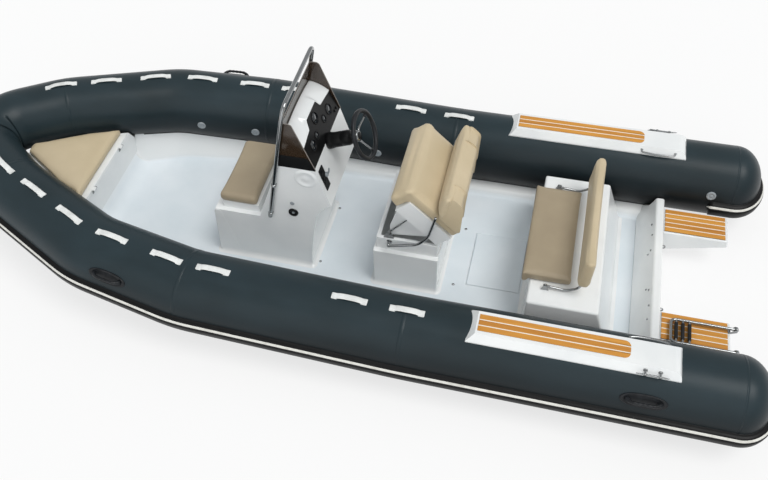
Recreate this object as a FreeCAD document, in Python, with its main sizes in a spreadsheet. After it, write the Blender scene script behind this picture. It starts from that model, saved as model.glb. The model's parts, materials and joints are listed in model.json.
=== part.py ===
import FreeCAD, Part
import math
import os
import re
import Sketcher

# A rigid-hulled inflatable boat afloat, in millimetres.
# X points to the bow, Y to port, Z up. The origin is on the centreline at the waterline,
# below the aft top edge of the transom.

doc = FreeCAD.newDocument("InflatableBoat")
sheet = doc.addObject("Spreadsheet::Sheet", "Sizes")

SIZES = (
    # Buoyancy tube: path of its centreline, port side, and its radii
    ("tube_radius", 280), ("tube_y", 993), ("tube_z", 330), ("stern_cap", 210), ("cap_knuckle", 150),
    ("stern_tip", 700), ("straight_end", 1700), ("bend_a", 3300), ("bend_b", 4100), ("bend_c", 4950),
    ("bend_d", 5340), ("nose_x", 5430),
    ("inset_a", 8), ("inset_b", 123), ("inset_c", 503), ("inset_d", 783),
    ("rise_a", 62), ("rise_b", 145), ("rise_c", 230), ("rise_d", 260), ("rise_nose", 265),
    ("slim_b", 8), ("slim_c", 22), ("slim_d", 30), ("slim_nose", 32),
    ("soft_gap", 0.3), ("bend_gap", 3),
    # Rubbing strake on the outer side of the tube
    ("strake_angle", -9), ("strake_half", 55), ("strake_face", 34), ("strake_depth", 44),
    ("strake_end", 316), ("stripe_half", 10), ("stripe_depth", 3), ("stripe_gap", 0.8), ("cap_ease", 3),
    # Hull and sole
    ("sole_z", 60), (
        "sole_thick", 30), ("keel_z", -330), ("chine_drop", 30), ("chine_in", 20), ("bottom_room", 15),
    ("side_run", 40), ("forefoot_x", 4700), ("deck_front", 5130), ("stem_x", 5300),
    ("forefoot_z", -60), ("stem_low_z", 170), ("stem_z", 290), ("deck_rise", 250),
    # Transom and swim platforms
    ("transom_top", 316), ("transom_thick", 60), ("transom_foot", 170), ("transom_half", 640),
    ("platform_in", 376), ("platform_out", 625), ("platform_top", 290), ("platform_tip", 470),
    ("platform_root", 87), ("platform_end", 224), ("platform_teak_margin", 13), ("teak_thick", 8),
    # Step pads on the tubes
    ("pad_aft", -90), ("pad_front", 1270), ("pad_half", 125), ("pad_top_half", 92),
    ("pad_top", 646), ("pad_slope", 55), ("pad_center", 1003), ("pad_teak_aft", 235),
    ("pad_teak_front", 1203), ("pad_teak_half", 66), ("pad_teak_round", 50), ("pad_round", 60),
    # Bow locker and its cushion
    ("locker_aft", 4425), ("locker_top", 425), ("locker_rise", 0.06), ("locker_lid", 10),
    ("bow_cushion", 70), ("locker_lip", 24), ("locker_wall", 30), ("bow_gap", 14),
    # Console
    ("console_half", 338), ("console_foot_x", 2587), ("console_foot_z", 60), ("console_shin_x", 2555),
    ("console_shin_z", 377), ("console_knee_x", 2519), ("console_knee_z", 568),
    ("console_tuck_x", 2463), ("console_tuck_z", 721), ("console_lip_x", 2386), ("console_lip_z", 784),
    ("dash_x", 2484), ("dash_z", 1125), ("dash_top_x", 2556), ("dash_top_z", 1283), ("dash_half", 326),
    ("dash_step", 134), ("dash_shoulder", 21),
    ("console_top_x", 2755), ("console_front_x", 2957), ("seat_front", 3323), ("seat_ledge", 548),
    ("seat_foot", 3196), ("dash_plate", 8), ("hood_half", 108), ("hood_top", 1362), ("hood_x", 2588),
    ("riser_half", 300), ("riser_top", 616), ("riser_aft", 2975), ("riser_front", 3262),
    ("seat_cushion_thick", 68), ("seat_cushion_half", 312), ("seat_cushion_aft", 2990),
    ("seat_cushion_front", 3275),
    # Windscreen and hoop rail
    ("screen_y", 335), ("screen_thick", 6), ("screen_top_z", 1522), ("screen_top_front", 2684),
    ("screen_top_run", 65), ("screen_tail", 2478), ("screen_foot_front", 2752),
    ("rail_radius", 15), ("rail_y", 357), ("rail_top", 1668), ("rail_top_x", 2651),
    ("rail_foot_x", 2866), ("rail_foot_z", 592), ("rail_bend", 90),
    # Steering
    ("wheel_x", 2207), ("wheel_z", 1211), ("wheel_radius", 172), ("rim_radius", 14),
    ("wheel_tilt", 22), ("wheel_dish", 55), ("hub_radius", 40), ("column_radius", 56), ("boss_gap", 52),
    ("column_length", 285), ("spoke_radius", 6),
    # Helm seat
    ("helm_aft", 1590), ("helm_front", 2078), ("helm_half", 385), ("helm_step", 430),
    ("rim_aft", 1598), ("rim_front", 2057), ("rim_half", 350), ("rim_top", 550), ("helm_wall", 30),
    ("lid_hinge_x", 1600), ("lid_hinge_z", 562), ("lid_open", 45), ("lid_depth", 145), ("lid_length", 440),
    ("lid_aft", 12),
    ("lid_wall", 20), ("lid_half", 355), ("helm_cushion_thick", 86), ("helm_cushion_front", 555),
    ("helm_cushion_half", 368), ("helm_roll", 112), ("lid_gap", 0.3),
    ("back_low_x", 1455), ("back_front_x", 1625), ("back_top_aft", 1502), ("back_top_front", 1556),
    ("back_top_z", 1105), (
        "back_half", 402), ("back_clear", 8), ("back_pad_x", 1575), ("bolster_half", 245),
    ("back_crest_x", 1440), ("back_crest_z", 1021),
    ("arm_radius", 10), ("arm_y", 395), ("arm_foot_x", 1958), ("arm_foot_z", 520),
    ("arm_bend_x", 1735), ("arm_bend_z", 590), ("arm_rise_x", 1665), ("arm_rise_z", 690),
    ("arm_top_x", 1616), ("arm_top_z", 895),
    ("stay_x", 1965), ("stay_z", 592), ("stay_y", 318), ("stay_length", 255), ("stay_angle", 130),
    ("stay_radius", 6), ("stay_width", 12), ("hinge_y", 250), ("knuckle_radius", 8), ("knuckle_half", 20),
    ("pin_radius", 4),
    # Rear seat
    ("rear_front", 935), ("rear_aft", 434), ("rear_foot", 300), ("rear_top", 460), ("rear_half", 630),
    ("rear_flare", 45), ("rear_cushion_aft", 628), ("rear_cushion_front", 1001), ("rear_cushion_half", 453),
    ("rear_cushion_thick", 78), ("rear_lip_drop", 30),
    ("rear_back_low", 566), ("rear_back_top", 845), ("rear_back_half", 540), ("rear_back_thick", 86),
    ("rear_back_x", 612), ("rear_back_lean", 30),
    ("rear_arm_y", 486), ("rear_arm_x", 812), ("rear_arm_z", 492), ("rear_arm_bend_x", 665),
    ("rear_arm_bend_z", 476), ("rear_arm_rise_x", 590), ("rear_arm_rise_z", 520),
    # Floor hatch
    ("hatch_aft", 985), ("hatch_front", 1383), ("hatch_half", 260), ("hatch_thick", 14), ("hatch_gap", 3),
    ("hatch_pin", 3),
    # Boarding ladder on the port platform
    ("ladder_x", -500), ("ladder_z", 326), ("ladder_in", 452), ("ladder_out", 645), ("ladder_radius", 11),
    ("ladder_front", -70), ("tread_width", 30), ("tread_pitch", 44), ("tread_count", 3),
    # Fittings
    ("cleat_length", 200), ("cleat_radius", 8), ("cleat_stand", 34), ("cleat_x", 90),
    ("handle_length", 250), ("handle_x", 120), ("strap_length", 230), ("strap_width", 50),
    ("strap_thick", 4), ("strap_arch", 16), ("grip_length", 300), ("grip_width", 90),
    ("valve_radius", 36), ("valve_depth", 8), ("eye_radius", 5),
)

for row, (alias, value) in enumerate(SIZES, start=1):
    sheet.set("A%d" % row, alias)
    sheet.set("B%d" % row, str(value))
    sheet.setAlias("B%d" % row, alias)
doc.recompute()

S = {alias: float(sheet.get(alias)) for alias, value in SIZES}
WORD = re.compile(r"\b(%s)\b" % "|".join(sorted(S, key=len, reverse=True)))


def linked(expression):
    """The expression with each size's name pointing into the sheet."""
    return WORD.sub(r"Sizes.\1", str(expression))


def number(expression):
    """The expression's present value."""
    return float(sheet.evalExpression(linked(expression)))


def bind(item, place, expression):
    item.setExpression(place, linked(expression))


def seat_at(item, x, y, z):
    for axis, expression in zip("xyz", (x, y, z)):
        bind(item, "Placement.Base." + axis, expression)


def block(name, x, y, z):
    """A box between pairs of expressions on each axis."""
    item = doc.addObject("Part::Box", name)
    for side, (low, high) in zip(("Length", "Width", "Height"), (x, y, z)):
        bind(item, side, "(%s) - (%s)" % (high, low))
    seat_at(item, x[0], y[0], z[0])
    return item


def rod(name, radius, length, base, direction):
    """A cylinder whose axis starts at base, three expressions, and runs along direction."""
    item = doc.addObject("Part::Cylinder", name)
    bind(item, "Radius", radius)
    bind(item, "Height", length)
    item.Placement.Rotation = FreeCAD.Rotation(FreeCAD.Vector(0, 0, 1), FreeCAD.Vector(*direction))
    seat_at(item, *base)
    return item


def outline_pad(name, plane, points, start, length):
    """A body padded from a closed outline; plane is XY, XZ or YZ and start lies along its normal."""
    body = doc.addObject("PartDesign::Body", name)
    origin = [f for f in body.Origin.OriginFeatures if f.Role == plane + "_Plane"][0]
    sketch = body.newObject("Sketcher::SketchObject", name + "Outline")
    sketch.AttachmentSupport = [(origin, "")]
    sketch.MapMode = "FlatFace"
    sign = "-" if plane == "XZ" else ""
    bind(sketch, "AttachmentOffset.Base.z", "%s(%s)" % (sign, start))
    corners = [FreeCAD.Vector(number(u), number(v), 0) for u, v in points]
    for here, there in zip(corners, corners[1:] + corners[:1]):
        sketch.addGeometry(Part.LineSegment(here, there))
    for index, (u, v) in enumerate(points):
        sketch.addConstraint(Sketcher.Constraint("Coincident", index, 2, (index + 1) % len(points), 1))
        for kind, axis, expression, value in (
                ("DistanceX", -2, u, corners[index].x), ("DistanceY", -1, v, corners[index].y)):
            if str(expression) == "0":
                sketch.addConstraint(Sketcher.Constraint("PointOnObject", index, 1, axis))
                continue
            which = sketch.addConstraint(Sketcher.Constraint(kind, -1, 1, index, 1, value))
            bind(sketch, "Constraints[%d]" % which, expression)
    pad = body.newObject("PartDesign::Pad", name + "Pad")
    pad.Profile = sketch
    bind(pad, "Length", length)
    pad.Reversed = plane == "XZ"
    body.Tip = pad
    return body


def cut(name, base, *tools):
    item = doc.addObject("Part::Cut", name)
    item.Base = base
    item.Tool = tools[0] if len(tools) == 1 else fuse(name + "Tools", *tools)
    return item


def fuse(name, *pieces):
    item = doc.addObject("Part::MultiFuse", name)
    item.Shapes = list(pieces)
    return item


def common(name, *pieces):
    item = doc.addObject("Part::MultiCommon", name)
    item.Shapes = list(pieces)
    return item


def mirrored(name, piece):
    """The piece's mirror image on the other side of the centreline."""
    item = doc.addObject("Part::Mirroring", name)
    item.Source = piece
    item.Normal = (0, 1, 0)
    return item


def group(name, *pieces):
    """Pieces that don't touch, kept as one item."""
    item = doc.addObject("Part::Compound", name)
    item.Links = list(pieces)
    return item


def shaped(name, shape):
    item = doc.addObject("Part::Feature", name)
    item.Shape = shape
    return item


def vec(x, y, z):
    return FreeCAD.Vector(x, y, z)


UP = vec(0, 0, 1)


# Small helpers for straight prisms and hinges

def side_prism(points, low, high):
    """An outline of (forward, up) points extruded between two values of y."""
    corners = [vec(u, low, v) for u, v in points]
    return Part.Face(Part.makePolygon(corners + corners[:1])).extrude(vec(0, high - low, 0))


def box_between(u, y, v):
    return Part.makeBox(u[1] - u[0], y[1] - y[0], v[1] - v[0], vec(u[0], y[0], v[0]))


def flat_face(corners):
    return Part.Face(Part.makePolygon(corners + corners[:1]))


def panelled(sections, closed=False):
    """A solid through sections of as many corners each, its sides made of flat panels.

    A panel that would be twisted is split from its corner nearest the centreline, so that both
    sides of the boat are alike and two solids that share a side split it alike."""
    faces = [] if closed else [flat_face(sections[0]), flat_face(sections[-1][::-1])]
    for near, far in zip(sections, sections[1:] + sections[:1] if closed else sections[1:]):
        for here in range(len(near)):
            there = (here + 1) % len(near)
            a, b, c, d = near[here], near[there], far[there], far[here]
            if abs(b.y) < abs(a.y):
                a, b, c, d = b, c, d, a
            normal = (b - a).cross(d - a)
            off = abs((c - a).dot(normal)) / max(normal.Length, 1e-9)
            if off < 1e-8:
                faces.append(flat_face([d, c, b, a]))
            else:
                faces.append(flat_face([c, b, a]))
                faces.append(flat_face([d, c, a]))
    shell = Part.Shell(faces)
    shell.sewShape()
    return Part.Solid(shell)


def eased(points, bend):
    """A centreline whose corners are drawn round in three short lengths."""
    line = [points[0]]
    for before, here, after in zip(points, points[1:], points[2:]):
        back = (before - here).normalize()
        front = (after - here).normalize()
        half = math.acos(max(-1.0, min(1.0, back.dot(front)))) / 2
        center = here + (back + front).normalize() * (bend / math.sin(half))
        start = here + back * (bend / math.tan(half)) - center
        end = here + front * (bend / math.tan(half)) - center
        turn = math.pi - 2 * half
        for share in (0.0, 1 / 3, 2 / 3, 1.0):
            low = math.sin((1 - share) * turn) / math.sin(turn)
            high = math.sin(share * turn) / math.sin(turn)
            line.append(center + start * low + end * high)
    return line + [points[-1]]


def bar(points, radius, bend=0.0, sides=8):
    """A bar along straight runs, mitred at its corners; its round section is made of flats."""
    line = eased(points, bend) if bend else points
    ahead = (line[1] - line[0]).normalize()
    side = ahead.cross(UP if abs(ahead.z) < 0.9 else vec(1, 0, 0)).normalize()
    upward = ahead.cross(side)
    turns = [2 * math.pi * (corner + 0.5) / sides for corner in range(sides)]
    sections = [[line[0] + (side * math.cos(turn) - upward * math.sin(turn)) * radius for turn in turns]]
    for index in range(1, len(line)):
        run = (line[index] - line[index - 1]).normalize()
        normal = run
        if index < len(line) - 1:
            normal = run + (line[index + 1] - line[index]).normalize()
        there = line[index]
        sections.append([p + run * ((there - p).dot(normal) / run.dot(normal)) for p in sections[-1]])
    return panelled(sections)


def bar_across(x, y, z, half, radius, sides=8):
    """A bar along Y, centred at a point."""
    return bar([vec(x, y - half, z), vec(x, y + half, z)], radius, sides=sides)


def bore_across(x, y, z, half, radius):
    """A bore along Y whose flats stand clear of a pin of one radius."""
    return bar_across(x, y, z, half, (radius + 0.05) / math.cos(math.pi / 8))


def ring(radius, thick, steps, sides):
    """A ring about Z, both round it and in its section made of flats."""
    sections = []
    for step in range(steps):
        around = 2 * math.pi * step / steps
        corners = []
        for side in range(sides):
            turn = 2 * math.pi * (side + 0.5) / sides
            out = radius + thick * math.cos(turn)
            corners.append(vec(out * math.cos(around), out * math.sin(around), thick * math.sin(turn)))
        sections.append(corners)
    return panelled(sections, True)


def knuckle(y, reach):
    """A hinge knuckle about the Y axis with a short leaf that reaches forward to its lid."""
    half = S["knuckle_half"]
    leaf = box_between((0, reach + 1), (y - half, y + half), (0, S["knuckle_radius"]))
    barrel = bar_across(0, y, 0, half, S["knuckle_radius"], 12)
    return barrel.fuse(leaf).cut(bore_across(0, y, 0, half + 10, S["pin_radius"]))


def hinge_ears(x, y, z, foot, spread):
    """Two ears and the pin between them, on a surface at height foot below the axis."""
    near = S["knuckle_half"] + 3
    ears = []
    for side in (-1, 1):
        low, high = sorted((y + side * near, y + side * (near + 6)))
        outline = [(x - 2, foot), (x + spread, foot), (x + 7, z + 6), (x - 7, z + 6), (x - 7, z - 4)]
        ears.append(side_prism(outline, low, high))
    return bar_across(x, y, z, near + 5, S["pin_radius"]).fuse(ears)


# Tube path

def tube_path():
    """Points and radii of the tube's centreline, port stern to nose to starboard stern."""
    half = [
        (-S["stern_tip"] + S["stern_cap"], S["tube_y"], 0, 0),
        (S["straight_end"], S["tube_y"], 0, 0),
        (S["bend_a"], S["tube_y"] - S["inset_a"], S["rise_a"], 0),
        (S["bend_b"], S["tube_y"] - S["inset_b"], S["rise_b"], S["slim_b"]),
        (S["bend_c"], S["tube_y"] - S["inset_c"], S["rise_c"], S["slim_c"]),
        (S["bend_d"], S["tube_y"] - S["inset_d"], S["rise_d"], S["slim_d"]),
    ]
    nose = (S["nose_x"], 0, S["rise_nose"], S["slim_nose"])
    other = [(x, -y, rise, slim) for x, y, rise, slim in reversed(half)]
    return [(vec(x, y, S["tube_z"] + rise), S["tube_radius"] - slim) for x,
        y, rise, slim in half + [nose] + other]


PATH = tube_path()
LAST = len(PATH) - 1
BEND = LAST // 4


def mitre(index):
    """Outboard and upward directions of the section at a path point, and its sideways stretch."""
    here = PATH[index][0]
    before = here - PATH[index - 1][0] if index > 0 else PATH[1][0] - here
    after = PATH[index + 1][0] - here if index < LAST else here - PATH[index - 1][0]
    before.normalize()
    after.normalize()
    ahead = before + after
    ahead.normalize()
    side = UP.cross(ahead)
    side.normalize()
    return side, ahead.cross(side), 1.0 / before.dot(ahead)


def placed(points, here, side, upward):
    """An outline's points set at a point of the path; side may be longer than one."""
    return [here + side * p.x + upward * p.y for p in points]


def section(index, outline):
    side, upward, stretch = mitre(index)
    return placed(outline(PATH[index][1]), PATH[index][0], side * stretch, upward)


def cap_section(degrees, outline, way=1, x=None):
    """A section round a stern cap, +1 for port: 0 is its outer side, 90 its tip and 180 its inner side."""
    turn = math.radians(degrees)
    squash = S["stern_cap"] / S["tube_radius"]
    side = vec(-squash * math.sin(turn), way * math.cos(turn), 0)
    here = vec(PATH[0][0].x if x is None else x, way * S["tube_y"], S["tube_z"])
    return placed(outline(S["tube_radius"] + S["cap_ease"]), here, side, UP)


def skin_ring(here, side, upward, radius):
    """The tube's skin in one plane: a circle, drawn out sideways in a mitre, in four arcs."""
    circle = Part.Circle(vec(0, 0, 0), UP, radius)
    quarter = math.pi / 2
    arcs = [
        Part.ArcOfCircle(circle, corner * quarter, (corner + 1) * quarter).toShape() for corner in range(4)]
    grid = FreeCAD.Matrix(
        side.x, upward.x, 0, here.x,
        side.y, upward.y, 0, here.y,
        side.z, upward.z, 1, here.z,
        0, 0, 0, 1)
    return Part.Wire(arcs).transformGeometry(grid)


def tube_lengths(first, last, grow=0.0):
    """Straight lengths of tube, mitred where they meet and tapered from bend to bend."""
    rings = []
    for index in range(first, last + 1):
        side, upward, stretch = mitre(index)
        rings.append(skin_ring(PATH[index][0], side * stretch, upward, PATH[index][1] + grow))
    return Part.makeLoft(rings, True, True)


def stern_cap(grow=0.0):
    """A domed end for the port tube in rings of fabric: a wide crown, then a smaller knuckle."""
    wide = S["tube_radius"] + grow
    deep = S["stern_cap"] + grow
    knuckle_arc = S["cap_knuckle"]
    rise = wide - knuckle_arc
    crown = (deep ** 2 + rise ** 2 - knuckle_arc ** 2) / (2 * (deep - knuckle_arc))
    turn = math.atan2(crown - deep, rise)
    profile = [vec(0, 0, 0), vec(-deep, 0, 0)]
    for share in (0.85, 0.4):
        here = turn + (math.pi / 2 - turn) * share
        profile.append(vec(crown - deep - crown * math.sin(here), crown * math.cos(here), 0))
    for share in (1.0, 0.5, 0.0):
        here = turn * share
        profile.append(vec(-knuckle_arc * math.sin(here), rise + knuckle_arc * math.cos(here), 0))
    dome = flat_face(profile).revolve(vec(0, 0, 0), vec(1, 0, 0), 360)
    dome.translate(PATH[0][0])
    return dome


def port_tube(last, grow=0.0):
    return tube_lengths(0, last, grow).fuse([stern_cap(grow)], 0.01)


def along_tube(first, last, outline):
    return [section(index, outline) for index in range(first, last + 1)]


def round_cap(way, outline):
    """Sections from a tube's inner side round its stern cap to its outer side."""
    sections = [cap_section(180, outline, way, -S["strake_end"])]
    return sections + [cap_section(turn, outline, way) for turn in range(180, -1, -15)]


def polar(radius, degrees):
    return vec(radius * math.cos(math.radians(degrees)), radius * math.sin(math.radians(degrees)), 0)


def strake_outline(radius):
    """A strake's section: a root of two flats that touch the tube, and a narrower outer face."""
    middle = S["strake_angle"]
    spread = math.degrees(S["strake_half"] / radius)
    base = (radius + S["soft_gap"]) / math.cos(math.radians(spread / 2))
    out = polar(1, middle)
    along = vec(-out.y, out.x, 0)
    far = radius + S["strake_depth"]
    root = [polar(base, middle + turn) for turn in (-spread, 0, spread)]
    return root + [out * far + along * S["strake_face"], out * far - along * S["strake_face"]]


def stripe_outline(radius):
    """The pale stripe's flat section on the strake's outer face."""
    out = polar(1, S["strake_angle"])
    along = vec(-out.y, out.x, 0)
    near = radius + S["strake_depth"] + S["stripe_gap"]
    far = near + S["stripe_depth"]
    half = S["stripe_half"]
    return [out * near - along * half, out * near + along * half, out * far + along * half,
            out * far - along * half]


nodes = {}
nodes["tube_port"] = shaped("TubePort", port_tube(BEND))
nodes["tube_bow"] = shaped("TubeBow", tube_lengths(BEND, LAST - BEND))
nodes["tube_starboard"] = mirrored("TubeStarboard", nodes["tube_port"])

# The skin that pieces on the tube are cut to, a little proud of the tube itself
port_skin = port_tube(BEND + 1, S["soft_gap"])
bow_skin = tube_lengths(BEND - 1, LAST - BEND + 1, S["soft_gap"])

nodes["strake_port"] = shaped("StrakePort", panelled(
    round_cap(1, strake_outline) + along_tube(1, BEND, strake_outline)))
nodes["strake_bow"] = shaped("StrakeBow", panelled(along_tube(BEND, LAST - BEND, strake_outline)))
nodes["strake_starboard"] = mirrored("StrakeStarboard", nodes["strake_port"])
nodes["strake_stripe"] = shaped("StrakeStripe", panelled(
    round_cap(
        1, stripe_outline) + along_tube(1, LAST - 1, stripe_outline) + round_cap(-1, stripe_outline)[::-1]))


# Hull, sole and bow locker, lofted through sections across the boat

def rim_point(index, way):
    """The tube's outer (+1) or inner (-1) side in a section."""
    side, upward, stretch = mitre(index)
    return PATH[index][0] + side * (way * stretch * PATH[index][1])


def run_at(index, x):
    """Centre and half sizes of one port run, as long as needed, where a plane across the boat cuts it."""
    ends = []
    shares = []
    for way in (1, -1):
        near = rim_point(index, way)
        far = rim_point(index + 1, way)
        share = (x - near.x) / (far.x - near.x)
        ends.append(near.y + (far.y - near.y) * share)
        shares.append(share)
    middle = sum(shares) / 2
    (near, near_radius), (far, far_radius) = PATH[index:index + 2]
    height = near.z + (far.z - near.z) * middle
    return sum(ends) / 2, height, (ends[0] - ends[1]) / 2, near_radius + (far_radius - near_radius) * middle


def tube_at(x):
    """Centre and half sizes of the port tube at x: the run that lies farthest in is the one there."""
    return min((run_at(index, x) for index in range(LAST // 2)), key=lambda cut: cut[0] - cut[2])


def inner_corner(index):
    """Where along the boat the tube's inner side turns at a bend."""
    return rim_point(index, -1).x


def beside_tube(x, degrees, grow=1.0, gap=None):
    """A point (y, z) just off the tube's skin, at an angle in the section at x."""
    y, z, wide, tall = tube_at(x)
    gap = S["soft_gap"] if gap is None else gap
    turn = math.radians(degrees)
    return y + (wide + gap) * grow * math.cos(turn), z + (tall + gap) * grow * math.sin(turn)


def across(x, half):
    """Corners across the boat from a half outline of (y, z) that starts and ends at y = 0."""
    other = [(-y, z) for y, z in reversed(half) if abs(y) > 1e-6]
    return [vec(x, y, z) for y, z in half + other]


LIP = 222
SEAT = 246
REACH = 258
SEAT_KNEE = (LIP + SEAT) / 2
KNEE_GROW = 1 / math.cos(math.radians((SEAT - LIP) / 2))
REACH_GROW = 1 / math.cos(math.radians(REACH - SEAT))


def gap_at(x):
    """The seat lies close to the tube where it is straight, and a little off where it bends."""
    return S["soft_gap"] if x <= S["straight_end"] else S["bend_gap"]


def sole_at(x):
    """The sole is level up to the forefoot and rises under the locker from there."""
    run = max(0.0, x - S["forefoot_x"]) / (S["deck_front"] - S["forefoot_x"])
    return S["sole_z"] + S["deck_rise"] * run


def deck_half(x):
    lip = beside_tube(x, LIP, gap=gap_at(x))
    knee = beside_tube(x, SEAT_KNEE, KNEE_GROW, gap_at(x))
    top = sole_at(x)
    under = top - S["sole_thick"]
    inner = max(lip[0] - S["side_run"], 5)
    return [(0, top), (inner, top), lip, knee, (inner, under), (0, under)]


def hull_half(x, keel):
    """The chine lies under the tube, or lower where the bottom must pass below the sole."""
    knee = beside_tube(x, SEAT_KNEE, KNEE_GROW, gap_at(x))
    reach = beside_tube(x, REACH, REACH_GROW, gap_at(x))
    lip = beside_tube(x, LIP, gap=gap_at(x))
    under = sole_at(x) - S["sole_thick"]
    inner = max(lip[0] - S["side_run"], 5)
    chine_y = reach[0] - S["chine_in"]
    below_sole = keel + (under - S["bottom_room"] - keel) * chine_y / inner
    chine = (chine_y, min(reach[1] - S["chine_drop"], below_sole))
    return [(0, under), (inner, under), knee, reach, chine, (0, keel)]


def stem_half():
    top = PATH[LAST // 2][0].z - PATH[LAST // 2][1] - 20
    return [(0, top), (12, top), (30, top), (46, top - 2), (36, top - 16), (0, S["stem_z"])]


KEEL = ((0, S["keel_z"]), (S["straight_end"], S["keel_z"]), (inner_corner(2), S["keel_z"] + 20),
        (inner_corner(3), S["keel_z"] + 110), (S["forefoot_x"], S["forefoot_z"]),
        (S["deck_front"], S["stem_low_z"]))

hull_sections = [across(x, hull_half(x, keel)) for x, keel in KEEL]
hull_sections.append(across(S["stem_x"], stem_half()))
nodes["hull"] = shaped("Hull", panelled(hull_sections))

deck_whole = shaped("DeckWhole", panelled([across(x, deck_half(x)) for x, keel in KEEL]))
hatch_hole = block(
    "HatchHole", ("hatch_aft - hatch_gap", "hatch_front + hatch_gap"),
    ("-hatch_half - hatch_gap", "hatch_half + hatch_gap"), ("sole_z - hatch_thick - 1", "sole_z + 5"))
nodes["deck"] = cut("Deck", deck_whole, hatch_hole)
hatch_plate = block(
    "HatchPlate", ("hatch_aft", "hatch_front - hatch_thick / 2"), ("-hatch_half", "hatch_half"),
    ("sole_z - hatch_thick", "sole_z"))
doc.recompute()
hatch_axis = vec(S["hatch_front"] - S["hatch_thick"] / 2, 0, S["sole_z"] - S["hatch_thick"] / 2)
hatch_edge = bar_across(*hatch_axis, S["hatch_half"], S["hatch_thick"] / 2, 12)
hatch_bore = bore_across(*hatch_axis, S["hatch_half"] + 5, S["hatch_pin"])
nodes["floor_hatch"] = shaped("FloorHatch", hatch_plate.Shape.fuse(hatch_edge).cut(hatch_bore))
hatch_pin = bar([
    hatch_axis + vec(0, S["hatch_half"] - 30, 0), hatch_axis + vec(0, S["hatch_half"] + S["hatch_gap"], 0)],
                S["hatch_pin"])
hatch_pin_port = shaped("HatchPinPort", hatch_pin)
nodes["hatch_pins"] = group("HatchPins", hatch_pin_port, mirrored("HatchPinStarboard", hatch_pin_port))


def locker_top_at(x, above=0.0):
    return S["locker_top"] + S["locker_rise"] * (x - S["locker_aft"]) + above


def locker_half(x):
    y, z, wide, tall = tube_at(x)
    off = 1.045
    top = locker_top_at(x)
    lean = math.asin((z - top) / (tall * off))
    low = beside_tube(x, LIP, off)
    lip = beside_tube(x, LIP, gap=gap_at(x))
    inner = max(lip[0] - S["side_run"], 5) - 1
    return [(0, sole_at(x)), (inner, sole_at(x)), low, (y - wide * off * math.cos(lean), top), (0, top)]


LOCKER_X = (S["locker_aft"], S["forefoot_x"], S["deck_front"])


def bow_half_width(x, margin):
    """Half the room between the bow tubes at their widest, less a margin."""
    y, z, wide, tall = tube_at(x)
    return y - wide - margin


def bow_plan(front, aft, margin, above, thick):
    """A slab over the locker whose plan follows the tubes and whose top rises to the bow."""
    stations = (aft, S["forefoot_x"], front)
    port = [vec(x, bow_half_width(x, margin), locker_top_at(x, above)) for x in stations]
    starboard = [vec(p.x, -p.y, p.z) for p in reversed(port)]
    face = Part.Face(Part.makePolygon(port + starboard + port[:1]))
    return face.extrude(vec(0, 0, thick))


locker_block = panelled([across(x, locker_half(x)) for x in LOCKER_X])
wall = S["locker_wall"]
locker_room = bow_plan(
    S["forefoot_x"] + 120, S["locker_aft"] + wall, wall + 40, S["sole_z"] + 60 - S["locker_top"] + 60, 900)
nodes["bow_locker"] = shaped("BowLocker", locker_block.cut([locker_room, deck_whole.Shape]))
BOW_HINGE = vec(S["locker_aft"] - 12, 0, S["locker_top"] + 2)


def bow_lid():
    """The locker's lid with its knuckles aft."""
    lid = bow_plan(S["deck_front"] - 20, S["locker_aft"] + 2, S["bow_gap"], S["lid_gap"], S["locker_lid"])
    for y in (-S["hinge_y"], S["hinge_y"]):
        piece = knuckle(y, 16)
        piece.translate(BOW_HINGE)
        lid = lid.fuse(piece)
    return lid


def bow_hinges():
    """Ears on the locker's aft face with the pins of its lid."""
    hinges = []
    for y in (-S["hinge_y"], S["hinge_y"]):
        near = S["knuckle_half"] + 3
        pieces = []
        for side in (-1, 1):
            low, high = sorted((y + side * near, y + side * (near + 5)))
            outline = [(S["locker_aft"], BOW_HINGE.z - 3), (BOW_HINGE.x + 7, BOW_HINGE.z + 6),
                       (BOW_HINGE.x - 7, BOW_HINGE.z + 6), (BOW_HINGE.x - 7, BOW_HINGE.z - 7),
                       (S["locker_aft"], BOW_HINGE.z - 34)]
            pieces.append(side_prism(outline, low, high))
        pin = bar_across(BOW_HINGE.x, y, BOW_HINGE.z, near + 5, S["pin_radius"])
        hinges.append(pin.fuse(pieces))
    return Part.makeCompound(hinges)


nodes["bow_locker_lid"] = shaped("BowLockerLid", bow_lid())
nodes["bow_hinges"] = shaped("BowHinges", bow_hinges())
nodes["bow_cushion"] = shaped("BowCushion", bow_plan(
    S["deck_front"] - 25, S["locker_aft"] + S["locker_lip"], S["bow_gap"] + 4,
    S["lid_gap"] + S["locker_lid"] + S["soft_gap"], S["bow_cushion"]))


# Transom, swim platforms and their teak

transom_profile = outline_pad(
    "TransomProfile", "XZ",
    (("0", "sole_z"), ("transom_foot", "sole_z"), ("transom_thick", "transom_top"), ("0", "transom_top")),
    "-tube_y", "2 * tube_y")


def transom_half():
    low = beside_tube(0, LIP, 1.01)
    high_y = beside_tube(0, 180, 1.01)[0]
    middle = beside_tube(0, (LIP + 180) / 2, 1.01 / math.cos(math.radians((LIP - 180) / 2)))
    lip = beside_tube(0, LIP)
    return [(0, S["sole_z"]), (lip[0] - S["side_run"], S["sole_z"]), low, middle,
            (high_y, S["tube_z"]), (high_y, S["transom_top"]), (0, S["transom_top"])]


transom_face = flat_face(across(-5, transom_half()))
transom_shape = shaped("TransomOutline", transom_face.extrude(vec(S["transom_foot"] + 20, 0, 0)))
nodes["transom"] = common("Transom", transom_profile, transom_shape)

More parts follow.
